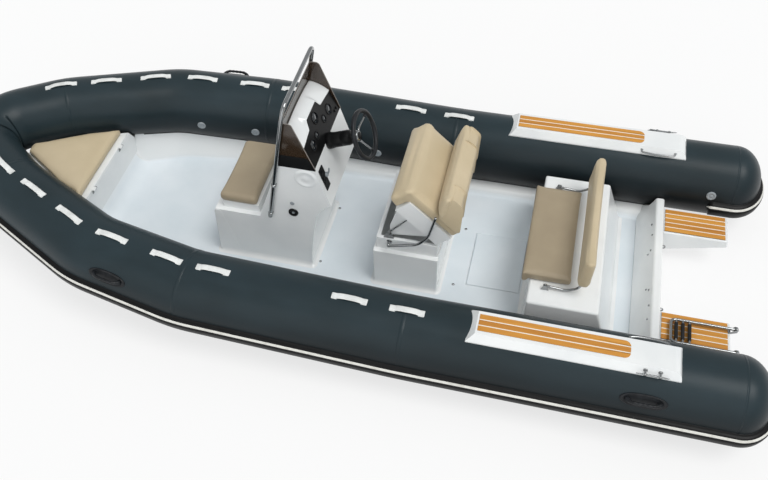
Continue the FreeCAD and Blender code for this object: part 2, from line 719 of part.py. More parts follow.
platform_profile = (
    ("0", "platform_top"), ("-platform_tip", "platform_top"), ("-platform_tip - 11", "platform_end"),
    ("0", "platform_root"))
platform_port = outline_pad(
    "PlatformPort", "XZ", platform_profile, "platform_in", "platform_out - platform_in")
nodes[
    "swim_platforms"] = group("SwimPlatforms", platform_port, mirrored("PlatformStarboard", platform_port))
platform_teak = block(
    "PlatformTeakPort", ("-platform_tip + 20", "-12"),
    ("platform_in + platform_teak_margin", "platform_out - platform_teak_margin"),
    ("platform_top", "platform_top + teak_thick"))
nodes["platform_teak"] = group(
    "PlatformTeak", platform_teak, mirrored("PlatformTeakStarboard", platform_teak))


# Step pads on the tubes, with teak

def step_pad():
    """A saddle on top of the tube: its underside is the tube's own arc."""
    y = S["tube_y"]
    z = S["tube_z"]
    radius = S["tube_radius"] + S["soft_gap"]
    outer = S["pad_center"] + S["pad_half"] - y
    inner = S["pad_center"] - S["pad_half"] - y
    middle = (outer + inner) / 2

    def on_tube(offset):
        return vec(0, y + offset, z + math.sqrt(radius ** 2 - offset ** 2))
    top_out = vec(0, S["pad_center"] + S["pad_top_half"], S["pad_top"])
    top_in = vec(0, S["pad_center"] - S["pad_top_half"], S["pad_top"])
    foot = vec(0, 0, 10)
    low_out = on_tube(outer)
    low_in = on_tube(inner)
    wire = Part.Wire([
        Part.Arc(low_out, on_tube(middle), low_in).toShape(), Part.makeLine(low_in, low_in + foot),
        Part.makeLine(low_in + foot, top_in), Part.makeLine(top_in, top_out),
        Part.makeLine(top_out, low_out + foot), Part.makeLine(low_out + foot, low_out)])
    solid = Part.Face(wire).extrude(vec(S["pad_front"] - S["pad_aft"], 0, 0))
    solid.translate(vec(S["pad_aft"], 0, 0))
    return solid


pad_whole = shaped("PadWhole", step_pad())
pad_nose = outline_pad(
    "PadNose", "XZ",
    (("pad_front - pad_slope", "pad_top + 20"), ("pad_front - pad_slope", "pad_top"),
     ("pad_front + 1", "pad_top - 62"), (
         "pad_front + 60", "pad_top - 62"), ("pad_front + 60", "pad_top + 20")),
    "tube_y - 400", "800")
pad_tail = outline_pad(
    "PadTail", "XZ",
    (("pad_aft - 1", "pad_top - pad_round"),
        ("pad_aft - 1", "pad_top + 20"), ("pad_aft + pad_round", "pad_top + 20"),
     ("pad_aft + pad_round", "pad_top"), ("pad_aft + 0.62 * pad_round", "pad_top - 0.08 * pad_round"),
     ("pad_aft + 0.29 * pad_round", "pad_top - 0.29 * pad_round"),
     ("pad_aft + 0.08 * pad_round", "pad_top - 0.62 * pad_round"), ("pad_aft", "pad_top - pad_round")),
    "tube_y - 400", "800")
nodes["step_pad_port"] = cut("StepPadPort", pad_whole, pad_nose, pad_tail)
nodes["step_pad_starboard"] = mirrored("StepPadStarboard", nodes["step_pad_port"])


def pad_teak_shape():
    """A strip of planks with square corners forward and a rounded end aft."""
    inner = S["pad_center"] - S["pad_teak_half"]
    outer = S["pad_center"] + S["pad_teak_half"]
    aft = S["pad_teak_aft"]
    front = S["pad_teak_front"]
    round_end = S["pad_teak_round"]
    side = round_end * (1 - math.cos(math.pi / 4))
    z = S["pad_top"]
    edges = [
        Part.makeLine(vec(front, inner, z), vec(front, outer, z)),
        Part.makeLine(vec(front, outer, z), vec(aft + round_end, outer, z)),
        Part.Arc(vec(aft + round_end, outer, z), vec(aft + side, outer - side, z),
                 vec(aft, outer - round_end, z)).toShape(),
        Part.makeLine(vec(aft, outer - round_end, z), vec(aft, inner + round_end, z)),
        Part.Arc(vec(aft, inner + round_end, z), vec(aft + side, inner + side, z),
                 vec(aft + round_end, inner, z)).toShape(),
        Part.makeLine(vec(aft + round_end, inner, z), vec(front, inner, z))]
    return Part.Face(Part.Wire(edges)).extrude(vec(0, 0, S["teak_thick"] / 2))


pad_teak = shaped("PadTeakPort", pad_teak_shape())
nodes["pad_teak"] = group("PadTeak", pad_teak, mirrored("PadTeakStarboard", pad_teak))


# Console with its front seat

def console_body():
    """The console's side profile across its width; its aft edge is hollowed below the lip."""
    foot, shin, knee, tuck, lip = (
        vec(S["console_" + name + "_x"], -S["console_half"], S["console_" + name + "_z"])
                                   for name in ("foot", "shin", "knee", "tuck", "lip"))
    half = -S["console_half"]
    corners = [lip, vec(S["dash_x"], half, S["dash_z"]), vec(S["console_top_x"], half, S["dash_z"]),
               vec(S["console_front_x"], half, S["seat_ledge"]), vec(
                   S["seat_front"], half, S["seat_ledge"]),
               vec(S["seat_foot"], half, S["sole_z"]), foot]
    edges = [Part.Arc(foot, shin, knee).toShape(), Part.Arc(knee, tuck, lip).toShape()]
    edges += [Part.makeLine(here, there) for here, there in zip(corners, corners[1:])]
    return Part.Face(Part.Wire(edges)).extrude(vec(0, 2 * S["console_half"], 0))


console_main = shaped("ConsoleMain", console_body())
pod = outline_pad(
    "DashPod", "XZ",
    (("dash_x + dash_plate", "dash_z"), ("dash_top_x + dash_plate", "dash_top_z"),
     ("dash_top_x + dash_plate + 14", "dash_top_z"), ("console_top_x - 20", "dash_z")),
    "-dash_half", "2 * dash_half")
hood = outline_pad(
    "InstrumentHood", "XZ",
    (("dash_x + dash_plate", "dash_z"),
        ("hood_x + dash_plate", "hood_top"), ("hood_x + dash_plate + 30", "hood_top"),
     ("console_top_x - 20", "dash_z")), "-hood_half", "2 * hood_half")
riser = block(
    "SeatRiser", ("riser_aft", "riser_front"), ("-riser_half", "riser_half"), ("seat_ledge", "riser_top"))
nodes["console"] = fuse("Console", console_main, pod, hood, riser)


def dash_plate():
    """The dark plate on the sloping face, stepped up over the instruments in the middle."""
    outline = [(S["dash_half"], S["dash_z"]), (S["dash_half"], S["dash_top_z"]),
               (S["dash_step"], S["dash_top_z"] + S["dash_shoulder"]), (S["hood_half"], S["hood_top"])]
    outline += [(-y, z) for y, z in reversed(outline)]
    slope = (S["dash_top_x"] - S["dash_x"]) / (S["dash_top_z"] - S["dash_z"])
    corners = [vec(S["dash_x"] + slope * (z - S["dash_z"]), y, z) for y, z in outline]
    return flat_face(corners).extrude(vec(S["dash_plate"], 0, 0))


nodes["dash_panel"] = cut("DashPanel", shaped("DashPlate", dash_plate()), fuse("DashSeat", pod, hood))
nodes["console_seat_cushion"] = block(
    "ConsoleSeatCushion", (
        "seat_cushion_aft", "seat_cushion_front"), ("-seat_cushion_half", "seat_cushion_half"),
    ("riser_top + soft_gap", "riser_top + seat_cushion_thick"))

screen_wing = outline_pad(
    "ScreenWing", "XZ",
    (("screen_tail", "dash_z"), ("screen_top_front - screen_top_run", "screen_top_z"),
     ("screen_top_front", "screen_top_z"), ("screen_foot_front", "dash_z")),
    "screen_y - screen_thick", "screen_thick")
screen_front = outline_pad(
    "ScreenFront", "XZ",
    (("screen_foot_front - screen_thick", "dash_z"), ("screen_top_front - screen_thick", "screen_top_z"),
     ("screen_top_front", "screen_top_z"), ("screen_foot_front", "dash_z")),
    "-screen_y + screen_thick", "2 * (screen_y - screen_thick)")
nodes["windscreen"] = fuse(
    "Windscreen", screen_wing, mirrored("ScreenWingStarboard", screen_wing), screen_front)


rail_points = [
    vec(S["rail_foot_x"], S["rail_y"], S["rail_foot_z"]), vec(S["rail_top_x"], S["rail_y"], S["rail_top"]),
    vec(S["rail_top_x"], -S["rail_y"], S["rail_top"]), vec(
        S["rail_foot_x"], -S["rail_y"], S["rail_foot_z"])]
hoop = bar(rail_points, S["rail_radius"], S["rail_bend"], 12)
rail_lean = (S["rail_top_x"] - S["rail_foot_x"]) / (S["rail_top"] - S["rail_foot_z"])
clamps = []
for side in (1, -1):
    for height in (S["rail_foot_z"] + 20, S["dash_z"] - 90):
        x = S["rail_foot_x"] + rail_lean * (height - S["rail_foot_z"])
        clamps.append(
            bar([vec(x, side * S["console_half"], height), vec(x, side * S["rail_y"], height)], 9))
nodes["hoop_rail"] = shaped("HoopRail", hoop.fuse(clamps))

# Steering wheel and column; the axis leans back from the dash

lean = math.radians(S["wheel_tilt"])
wheel_axis = vec(-math.cos(lean), 0, math.sin(lean))
wheel_center = vec(S["wheel_x"], 0, S["wheel_z"])
wheel_turn = FreeCAD.Rotation(UP, wheel_axis)


def on_wheel(shape):
    shape.Placement = FreeCAD.Placement(wheel_center, wheel_turn).multiply(shape.Placement)
    return shape


def wheel_shape():
    """Rim, three spokes that rise from the dished hub, and the hub."""
    rim = ring(S["wheel_radius"] - S["rim_radius"], S["rim_radius"], 28, 8)
    hub = bar(
        [vec(0, 0, -S["wheel_dish"] - 15), vec(0, 0, -S["wheel_dish"] + 15)], S["hub_radius"], sides=16)
    spokes = []
    for turn in (0, 120, 240):
        out = polar(1, turn + 180)
        start = out * (S["hub_radius"] - 8) - UP * S["wheel_dish"]
        spokes.append(bar([start, out * (S["wheel_radius"] - S["rim_radius"])], S["spoke_radius"]))
    return on_wheel(rim.fuse([hub] + spokes))


def column_shape():
    """The thick boss on the dash and the short shaft that carries the wheel."""
    boss_end = -S["wheel_dish"] - S["boss_gap"]
    boss = Part.makeCylinder(
        S["column_radius"], boss_end + S["column_length"], vec(0, 0, -S["column_length"]))
    shaft = Part.makeCylinder(18, S["boss_gap"] - 15 - S["soft_gap"], vec(0, 0, boss_end))
    return on_wheel(boss.fuse(shaft)).cut(nodes["console"].Shape).cut(nodes["dash_panel"].Shape)


doc.recompute()
nodes["steering_wheel"] = shaped("SteeringWheel", wheel_shape())
nodes["steering_column"] = shaped("SteeringColumn", column_shape())


# Helm seat: box, lid on its aft hinge, cushion, back on two arms, and the lid's stay

helm_low = block(
    "HelmLow", ("helm_aft", "helm_front"), ("-helm_half", "helm_half"), ("sole_z", "helm_step"))
helm_high = block("HelmHigh", ("rim_aft", "rim_front"), ("-rim_half", "rim_half"), ("helm_step", "rim_top"))
helm_room = block(
    "HelmRoom", (
        "rim_aft + helm_wall", "rim_front - helm_wall"), ("-rim_half + helm_wall", "rim_half - helm_wall"),
    ("sole_z + helm_wall", "rim_top + 10"))
nodes["helm_seat_base"] = cut("HelmSeatBase", fuse("HelmBox", helm_low, helm_high), helm_room)


def tipped(shape):
    """A shape drawn with the lid closed, with the hinge at the origin, moved to the open lid."""
    shape.rotate(vec(0, 0, 0), vec(0, 1, 0), -S["lid_open"])
    shape.translate(vec(S["lid_hinge_x"], 0, S["lid_hinge_z"]))
    return shape


def stay_end():
    """Where the stay's free end lies on the open lid, as (u, v)."""
    turn = math.radians(S["stay_angle"])
    x = S["stay_x"] + S["stay_length"] * math.cos(turn) - S["lid_hinge_x"]
    z = S["stay_z"] + S["stay_length"] * math.sin(turn) - S["lid_hinge_z"]
    tilt = math.radians(S["lid_open"])
    return x * math.cos(tilt) + z * math.sin(tilt), z * math.cos(tilt) - x * math.sin(tilt)


def helm_lid():
    """An upturned tub with hinge knuckles on its aft wall and a boss for the stay inside one side."""
    half = S["lid_half"]
    wall = S["lid_wall"]
    length = S["lid_length"]
    depth = S["lid_depth"]
    aft = S["lid_aft"]
    shell = box_between((aft, length), (-half, half), (0, depth))
    room = box_between((aft + wall, length - wall), (-half + wall, half - wall), (-1, depth - wall))
    u, v = stay_end()
    boss_y = S["stay_y"] + S["stay_width"] / 2 + S["soft_gap"]
    boss = bar([vec(u, boss_y, v), vec(u, half - wall + 1, v)], 9)
    lid = shell.cut(room).fuse(boss)
    for y in (-S["hinge_y"], S["hinge_y"]):
        lid = lid.fuse(knuckle(y, aft))
    return lid


def helm_hinges():
    """The hinges on the box's aft edge that the lid turns on."""
    return Part.makeCompound([
        hinge_ears(S["lid_hinge_x"], y, S["lid_hinge_z"], S["rim_top"], 14) for y in (
            -S["hinge_y"], S["hinge_y"])])


def helm_cushion():
    base = S["lid_depth"] + S["soft_gap"]
    top = base + S["helm_cushion_thick"]
    front = S["helm_cushion_front"]
    roll = S["lid_length"] + S["soft_gap"] + 2
    outline = [(4, base), (roll, base), (roll, base - S["helm_roll"]), (front - 20, base - S["helm_roll"]),
               (front, base - S["helm_roll"] + 30), (front, top - 30), (front - 30, top), (4, top)]
    return side_prism(outline, -S["helm_cushion_half"], S["helm_cushion_half"])


nodes["helm_lid"] = shaped("HelmLid", tipped(helm_lid()))
nodes["helm_hinges"] = shaped("HelmHinges", helm_hinges())
nodes["helm_cushion"] = shaped("HelmCushion", tipped(helm_cushion()))

# The back stands over the open lid, so its underside is parallel to the lid
back_plane = S["lid_depth"] + S["helm_cushion_thick"] + S["back_clear"]
slope = math.radians(S["lid_open"])


def above_lid(x):
    """Height of the back's underside at x."""
    return S["lid_hinge_z"] + (back_plane + (x - S["lid_hinge_x"]) * math.sin(slope)) / math.cos(slope)


back_slab = side_prism([
    (S["back_pad_x"], above_lid(S["back_pad_x"])), (S["back_front_x"], above_lid(S["back_front_x"])),
    (S["back_top_front"], S["back_top_z"]), (S["back_top_aft"], S["back_top_z"] - 15)],
    -S["back_half"], S["back_half"])
back_bolster = side_prism([
    (S["back_low_x"], above_lid(S["back_low_x"])), (S["back_pad_x"] + 20, above_lid(S["back_pad_x"] + 20)),
    (S["back_top_aft"] + 12, S["back_top_z"] - 20), (S["back_crest_x"], S["back_crest_z"])],
    -S["bolster_half"], S["bolster_half"])
nodes["helm_back"] = shaped("HelmBack", back_slab.fuse(back_bolster))


def helm_frame():
    """Two bent arms, each on a boss at the side of the box."""
    arms = []
    for side in (1, -1):
        y = side * S["arm_y"]
        points = [vec(S["arm_foot_x"], y, S["arm_foot_z"]), vec(S["arm_bend_x"], y, S["arm_bend_z"]),
                  vec(S["arm_rise_x"], y, S["arm_rise_z"]), vec(S["arm_top_x"], y, S["arm_top_z"] + 20)]
        arm = bar(points, S["arm_radius"], 45)
        boss = bar([vec(S["arm_foot_x"], side * S["rim_half"], S["arm_foot_z"]), points[0]], 14)
        arms.append(arm.fuse(boss).cut(nodes["helm_back"].Shape))
    return Part.makeCompound(arms)


nodes["helm_back_frame"] = shaped("HelmBackFrame", helm_frame())


def lid_stay():
    foot = vec(S["stay_x"], S["stay_y"], S["stay_z"])
    turn = math.radians(S["stay_angle"])
    way = vec(math.cos(turn), 0, math.sin(turn))
    end = foot + way * S["stay_length"]
    half = S["stay_width"] / 2
    eyes = [bar_across(place.x, place.y, place.z, half, 10, 12) for place in (foot, end)]
    hole = bore_across(foot.x, foot.y, foot.z, half + 1, 4.2)
    return bar([foot, end], S["stay_radius"]).fuse(eyes).cut(hole)


def stay_bracket():
    """A triangular ear on the box's rim with the pin that the stay turns on."""
    foot = vec(S["stay_x"], S["stay_y"], S["stay_z"])
    half = 38
    outline = [(foot.x - half, S["rim_top"]), (foot.x + half, S["rim_top"]), (foot.x + 12, foot.z + 12),
               (foot.x - 12, foot.z + 12)]
    ear = side_prism(outline, foot.y + 9, foot.y + 14)
    pin = bar([foot - vec(0, 8, 0), foot + vec(0, 14, 0)], 4)
    plate = box_between(
        (foot.x - half, foot.x + half), (foot.y + 4, foot.y + 28), (S["rim_top"], S["rim_top"] + 4))
    return ear.fuse([pin, plate])


nodes["lid_stay"] = shaped("LidStay", lid_stay())
nodes["stay_bracket"] = shaped("StayBracket", stay_bracket())


# Rear seat

def rear_base():
    """A tapered box: lower edge wider and longer than its top."""
    low = S["rear_half"] + S["rear_flare"]
    high = S["rear_half"]
    foot = [(S["rear_foot"], -low), (S["rear_foot"], low), (S["rear_front"], low), (S["rear_front"], -low)]
    top = [(S["rear_aft"], -high),
        (S["rear_aft"], high), (S["rear_front"] - 10, high), (S["rear_front"] - 10, -high)]
    return panelled([[vec(x, y, S["sole_z"]) for x, y in foot], [vec(x, y, S["rear_top"]) for x, y in top]])


nodes["rear_seat_base"] = shaped("RearSeatBase", rear_base())
rear_cushion_low = S["rear_top"] + S["soft_gap"]
rear_cushion_outline = [
    (S["rear_cushion_aft"], rear_cushion_low), (S["rear_front"] + 2, rear_cushion_low),
    (S["rear_front"] + 2, rear_cushion_low - S["rear_lip_drop"]),
    (S["rear_cushion_front"], rear_cushion_low - S["rear_lip_drop"]),
    (S["rear_cushion_front"], S["rear_top"] + S["rear_cushion_thick"]),
    (S["rear_cushion_aft"], S["rear_top"] + S["rear_cushion_thick"])]
nodes["rear_cushion"] = shaped("RearCushion", side_prism(
    rear_cushion_outline, -S["rear_cushion_half"], S["rear_cushion_half"]))
rear_back_outline = [
    (S["rear_back_x"], S["rear_back_low"]), (S["rear_back_x"] - S["rear_back_lean"], S["rear_back_top"]),
    (S["rear_back_x"] - S["rear_back_lean"] - S["rear_back_thick"] + 20, S["rear_back_top"]),
    (S["rear_back_x"] - S["rear_back_thick"], S["rear_back_low"])]
nodes["rear_back"] = shaped(
    "RearBack", side_prism(rear_back_outline, -S["rear_back_half"], S["rear_back_half"]))


def rear_frame():
    """Two arms that turn on pins beside the cushion and carry the back."""
    arms = []
    for side in (1, -1):
        y = side * S["rear_arm_y"]
        points = [
            vec(S["rear_arm_x"], y, S["rear_arm_z"]), vec(S["rear_arm_bend_x"], y, S["rear_arm_bend_z"]),
                  vec(S["rear_arm_rise_x"], y, S["rear_arm_rise_z"]),
                  vec(S["rear_back_x"] - S["rear_back_thick"] / 2, y, S["rear_back_low"] + 20)]
        eye = bar_across(S["rear_arm_x"], y, S["rear_arm_z"], 6, 14, 12)
        hole = bore_across(S["rear_arm_x"], y, S["rear_arm_z"], 20, 6.2)
        arms.append(bar(points, 9, 30).fuse(eye).cut(hole).cut(nodes["rear_back"].Shape))
    return Part.makeCompound(arms)


def rear_pivots():
    """Ears on the seat base with the pins that the arms turn on."""
    ears = []
    for side in (1, -1):
        y = side * (S["rear_arm_y"] + 10)
        low, high = sorted((y, y + side * 6))
        outline = [(S["rear_arm_x"] - 28, S["rear_top"]), (S["rear_arm_x"] + 28, S["rear_top"]),
                   (S["rear_arm_x"] + 12, S["rear_arm_z"] + 12), (
                       S["rear_arm_x"] - 12, S["rear_arm_z"] + 12)]
        ear = side_prism(outline, low, high)
        foot = vec(S["rear_arm_x"], y + side * 2, S["rear_arm_z"])
        pin = bar([foot, foot - vec(0, side * 20, 0)], 6)
        ears.append(ear.fuse(pin))
    return Part.makeCompound(ears)


nodes["rear_back_frame"] = shaped("RearBackFrame", rear_frame())
nodes["rear_pivots"] = shaped("RearPivots", rear_pivots())


# Boarding ladder, folded on the port platform

def ladder():
    """Two rails with treads near their free end and an eye at the other."""
    rails = []
    for y in (S["ladder_in"], S["ladder_out"]):
        rail = bar([vec(S["ladder_x"] + 12, y, S["ladder_z"]), vec(S["ladder_front"], y, S["ladder_z"])],
                   S["ladder_radius"])
        eye = bar_across(S["ladder_x"], y, S["ladder_z"], 10, 14, 12)
        rails.append(rail.fuse(eye).cut(bore_across(S["ladder_x"], y, S["ladder_z"], 12, 5)))
    treads = []
    for step in range(int(S["tread_count"])):
        x = S["ladder_front"] - 20 - S["tread_width"] - step * S["tread_pitch"]
        treads.append(Part.makeBox(S["tread_width"], S["ladder_out"] - S["ladder_in"], 14,
                                   vec(x, S["ladder_in"], S["ladder_z"] - 7)))
    return rails[0].fuse(rails[1:] + treads)


def ladder_hinges():
    """Brackets on the platform's aft edge that hold the ladder's pins."""
    brackets = []
    for y in (S["ladder_in"], S["ladder_out"]):
        for side in (-1, 1):
            low, high = sorted((y + side * 14, y + side * 18))
            outline = [(-S["platform_tip"], S["platform_top"]), (S["ladder_x"] - 8, S["ladder_z"] - 12),
                       (S["ladder_x"] - 8, S["ladder_z"] + 10), (S["ladder_x"] + 10, S["ladder_z"] + 10),
                       (-S["platform_tip"] + 16, S["platform_top"] + 2), (
                           -S["platform_tip"] + 16, S["platform_top"])]
            brackets.append(side_prism(outline, low, high))
        brackets.append(bar_across(S["ladder_x"], y, S["ladder_z"], 18, 5))
        brackets.append(box_between((-S["platform_tip"], -S["platform_tip"] + 18), (y - 18, y + 18),
                                    (S["platform_top"], S["platform_top"] + 3)))
    pairs = [brackets[0].fuse(brackets[1:4]), brackets[4].fuse(brackets[5:8])]
    return Part.makeCompound(pairs)


nodes["boarding_ladder"] = shaped("BoardingLadder", ladder())
nodes["ladder_hinges"] = shaped("LadderHinges", ladder_hinges())


# Fittings on the step pads and the tubes

def side_handle(x, length, y, z, side, stand, radius):
    """A bar on two posts that stand out sideways from a surface at y."""
    posts = []
    for end in (-1, 1):
        foot = vec(x + end * length * 0.32, y, z)
        posts.append(bar([foot, foot + vec(0, side * stand, 0)], radius - 1.5))
    ends = [vec(x + end * length / 2, y + side * stand, z) for end in (-1, 1)]
    return bar(ends, radius).fuse(posts)


def pad_side(y_sign, z):
    """The pad's sloping side at a height, outer for +1 and inner for -1, on the port pad."""
    foot_y = S["pad_half"]
    offset = S["pad_center"] + y_sign * foot_y - S["tube_y"]
    foot_z = S["tube_z"] + math.sqrt((S["tube_radius"] + S["soft_gap"]) ** 2 - offset ** 2) + 10
    share = (z - foot_z) / (S["pad_top"] - foot_z)
    return S["pad_center"] + y_sign * (foot_y + (S["pad_top_half"] - foot_y) * share)


fitting_z = S["pad_top"] - 32
cleat = side_handle(
    S["cleat_x"], S["cleat_length"], pad_side(1, fitting_z) - 4, fitting_z, 1, S["cleat_stand"],
                    S["cleat_radius"]).cut(pad_whole.Shape)
handle = side_handle(
    S["handle_x"], S["handle_length"], pad_side(-1, fitting_z) + 4, fitting_z, -1, S["cleat_stand"],
                     S["cleat_radius"]).cut(pad_whole.Shape)
cleat_port = shaped("CleatPort", cleat)
handle_port = shaped("HandlePort", handle)
nodes["cleats"] = group("Cleats", cleat_port, mirrored("CleatStarboard", cleat_port))
nodes["pad_handles"] = group("PadHandles", handle_port, mirrored("HandleStarboard", handle_port))


def on_path(x):
    """Point, radius, heading and outboard direction of the port tube at x."""
    for (low, low_radius), (high, high_radius) in zip(PATH[:LAST // 2], PATH[1:]):
        if x <= high.x:
            share = (x - low.x) / (high.x - low.x)
            run = (high - low).normalize()
            return low + (
                high - low) * share, low_radius + (high_radius - low_radius) * share, run, UP.cross(run)
    return None


STRAP_X = (1691, 2097, 3085, 3455, 3899, 4276, 4647, 4976)


def strap(x):
    """A webbing loop along the tube's top: flat ends and an arched middle."""
    center, radius, run, out = on_path(x)
    out.normalize()
    upward = run.cross(out)
    base = radius - 3
    half = S["strap_length"] / 2
    thick = S["strap_thick"]
    arch = S["strap_arch"]
    flat = 3 + thick
    outer = [
        (-half, 0), (-half, flat), (-half + 45, flat), (-half + 70, arch + flat), (half - 70, arch + flat),
             (half - 45, flat), (half, flat), (half, 0)]
    inner = [(half - 52, 0), (half - 76, arch + 3), (-half + 76, arch + 3), (-half + 52, 0)]
    corners = [vec(u, -S["strap_width"] / 2, v) for u, v in outer + inner]
    band = Part.Face(Part.makePolygon(corners + corners[:1])).extrude(vec(0, S["strap_width"], 0))
    place = FreeCAD.Matrix(
        run.x, out.x, upward.x, center.x + upward.x * base,
        run.y, out.y, upward.y, center.y + upward.y * base,
        run.z, out.z, upward.z, center.z + upward.z * base,
        0, 0, 0, 1)
    band.Placement = FreeCAD.Placement(place)
    return band.cut(port_skin if x < S["bend_b"] else bow_skin)


def flipped(shape):
    return shape.mirror(vec(0, 0, 0), vec(0, 1, 0))


straps = [strap(x) for x in STRAP_X]
nodes["grab_straps"] = shaped("GrabStraps", Part.makeCompound(straps + [flipped(s) for s in straps]))


def side_grip(x, degrees):
    """A moulded handle on the tube's side: an oval base with a raised bar."""
    center, radius, run, out = on_path(x)
    out.normalize()
    upward = run.cross(out)
    turn = math.radians(degrees)
    away = out * math.cos(turn) + upward * math.sin(turn)
    across = away.cross(run)
    half = S["grip_length"] / 2
    wide = S["grip_width"] / 2
    base = box_between((-half, half), (-wide, wide), (0, 10))
    loop = box_between((-half * 0.62, half * 0.62), (-14, 14), (24, 40))
    posts = [box_between((end - 12, end + 12), (-14, 14), (10, 24))
             for end in (-half * 0.62 + 12, half * 0.62 - 12)]
    whole = base.fuse([loop] + posts)
    lift = radius * math.cos(wide / radius)
    place = FreeCAD.Matrix(
        run.x, across.x, away.x, center.x + away.x * (lift + 2),
        run.y, across.y, away.y, center.y + away.y * (lift + 2),
        run.z, across.z, away.z, center.z + away.z * (lift + 2),
        0, 0, 0, 1)
    whole.Placement = FreeCAD.Placement(place)
    return whole.cut(port_skin)


GRIP_ANGLE = 28
grips = [side_grip(x, GRIP_ANGLE) for x in (110, 3814)] + [
    flipped(side_grip(x, GRIP_ANGLE)) for x in (110, 3674)]
nodes["side_grips"] = shaped("SideGrips", Part.makeCompound(grips))


def valve(x, degrees):
    """A round valve let into the tube's inner side."""
    center, radius, run, out = on_path(x)
    out.normalize()
    upward = run.cross(out)
    turn = math.radians(degrees)
    away = out * math.cos(turn) + upward * math.sin(turn)
    rim = [center + away * (radius - 8), center + away * (radius + S["valve_depth"])]
    return bar(rim, S["valve_radius"], sides=12).cut(port_skin)


valves = [valve(x, angle) for x, angle in ((-322, 165), (2312, 182), (3411, 182), (3870, 182))]
nodes["valves"] = shaped("Valves", Part.makeCompound(valves + [flipped(v) for v in valves]))


def eye_bolt(x, y, z):
    """A round plate on the transom's aft face with a bow that stands on it."""
    plate = bar([vec(x, y, z), vec(x - 5, y, z)], 18, sides=12)
    corners = [vec(x - 4, y, z - 14), vec(x - 30, y, z - 16), vec(x - 40, y, z), vec(x - 30, y, z + 16),
               vec(x - 4, y, z + 14)]
    return plate.fuse(bar(corners, S["eye_radius"], sides=6))


nodes["transom_eyes"] = shaped("TransomEyes", Part.makeCompound(
    [eye_bolt(0, y, 210) for y in (300, -300)]))

doc.recompute()

for item in doc.Objects:
    if "Invalid" in item.State or "Error" in item.State:
        raise SystemExit("failed: " + item.Name + " " + str(item.State))

os.makedirs("parts", exist_ok=True)
for name, item in nodes.items():
    item.Label = name
    shape = item.Shape
    if shape.isNull() or not shape.isValid() or not shape.Solids:
        raise SystemExit("no valid solid: " + name)
    shape.exportStep("parts/%s.step" % name)
print("wrote", len(nodes), "nodes")
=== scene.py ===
"""A rigid inflatable boat afloat, dressed around its packed construction. Metres throughout."""
import json
import math

import bmesh
import bpy
import numpy as np
from mathutils import Matrix, Vector

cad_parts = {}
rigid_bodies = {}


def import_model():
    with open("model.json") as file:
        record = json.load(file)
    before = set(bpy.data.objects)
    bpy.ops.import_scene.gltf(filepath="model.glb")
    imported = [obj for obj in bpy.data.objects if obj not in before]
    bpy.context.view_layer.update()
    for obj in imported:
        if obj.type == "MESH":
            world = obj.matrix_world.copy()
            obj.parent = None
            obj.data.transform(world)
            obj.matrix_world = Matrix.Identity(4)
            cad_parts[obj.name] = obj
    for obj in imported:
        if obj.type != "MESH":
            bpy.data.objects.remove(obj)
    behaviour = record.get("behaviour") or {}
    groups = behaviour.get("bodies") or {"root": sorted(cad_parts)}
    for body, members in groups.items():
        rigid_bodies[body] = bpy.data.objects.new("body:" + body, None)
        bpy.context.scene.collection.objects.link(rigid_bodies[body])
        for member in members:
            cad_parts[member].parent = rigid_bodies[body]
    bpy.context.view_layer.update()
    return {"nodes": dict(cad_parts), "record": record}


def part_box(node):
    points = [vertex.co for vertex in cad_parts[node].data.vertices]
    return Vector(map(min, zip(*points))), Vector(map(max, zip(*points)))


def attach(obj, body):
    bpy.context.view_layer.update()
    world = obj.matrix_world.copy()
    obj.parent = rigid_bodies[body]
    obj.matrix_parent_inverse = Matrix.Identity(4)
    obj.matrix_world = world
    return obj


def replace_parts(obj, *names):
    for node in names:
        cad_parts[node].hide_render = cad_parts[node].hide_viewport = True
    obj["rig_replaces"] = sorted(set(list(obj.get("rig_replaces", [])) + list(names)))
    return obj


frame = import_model()
NODES = frame["nodes"]
TAU = 2 * math.pi


# Camera: the photograph's place and lens, worked out for its 768 by 480 frame
PHOTO_WIDTH = 768
PHOTO_HEIGHT = 480
CAMERA_PLACE = (0.9781, 4.2618, 5.2887)
CAMERA_AZIMUTH = math.radians(197.783)
CAMERA_ELEVATION = math.radians(49.514)
CAMERA_ROLL = math.radians(-4.065)
FOCAL_PIXELS = 852.8
VIEW_CENTRE = (353.4, 239.1)
SENSOR = 36.0


def photo_camera():
    """Right, up and back axes from azimuth, elevation and roll; the shift moves the view's centre."""
    back = np.array([
        math.cos(CAMERA_ELEVATION) * math.sin(CAMERA_AZIMUTH),
        -math.cos(CAMERA_ELEVATION) * math.cos(CAMERA_AZIMUTH),
        math.sin(CAMERA_ELEVATION)])
    level = np.array([math.cos(CAMERA_AZIMUTH), math.sin(CAMERA_AZIMUTH), 0.0])
    unrolled = np.cross(back, level)
    right = level * math.cos(CAMERA_ROLL) + unrolled * math.sin(CAMERA_ROLL)
    upward = np.cross(back, right)
    lens = bpy.data.cameras.new("photo_camera")
    lens.sensor_fit = "HORIZONTAL"
    lens.sensor_width = SENSOR
    lens.lens = FOCAL_PIXELS * SENSOR / PHOTO_WIDTH
    lens.shift_x = (PHOTO_WIDTH / 2 - VIEW_CENTRE[0]) / PHOTO_WIDTH
    lens.shift_y = (VIEW_CENTRE[1] - PHOTO_HEIGHT / 2) / PHOTO_WIDTH
    lens.clip_end = 200
    camera = bpy.data.objects.new("photo_camera", lens)
    axes = np.stack([right, upward, back], axis=1)
    camera.matrix_world = Matrix.Translation(CAMERA_PLACE) @ Matrix(axes.tolist()).to_4x4()
    bpy.context.scene.collection.objects.link(camera)
    bpy.context.scene.camera = camera


# Finishes: a socket that does arithmetic, and one method that adds any other node

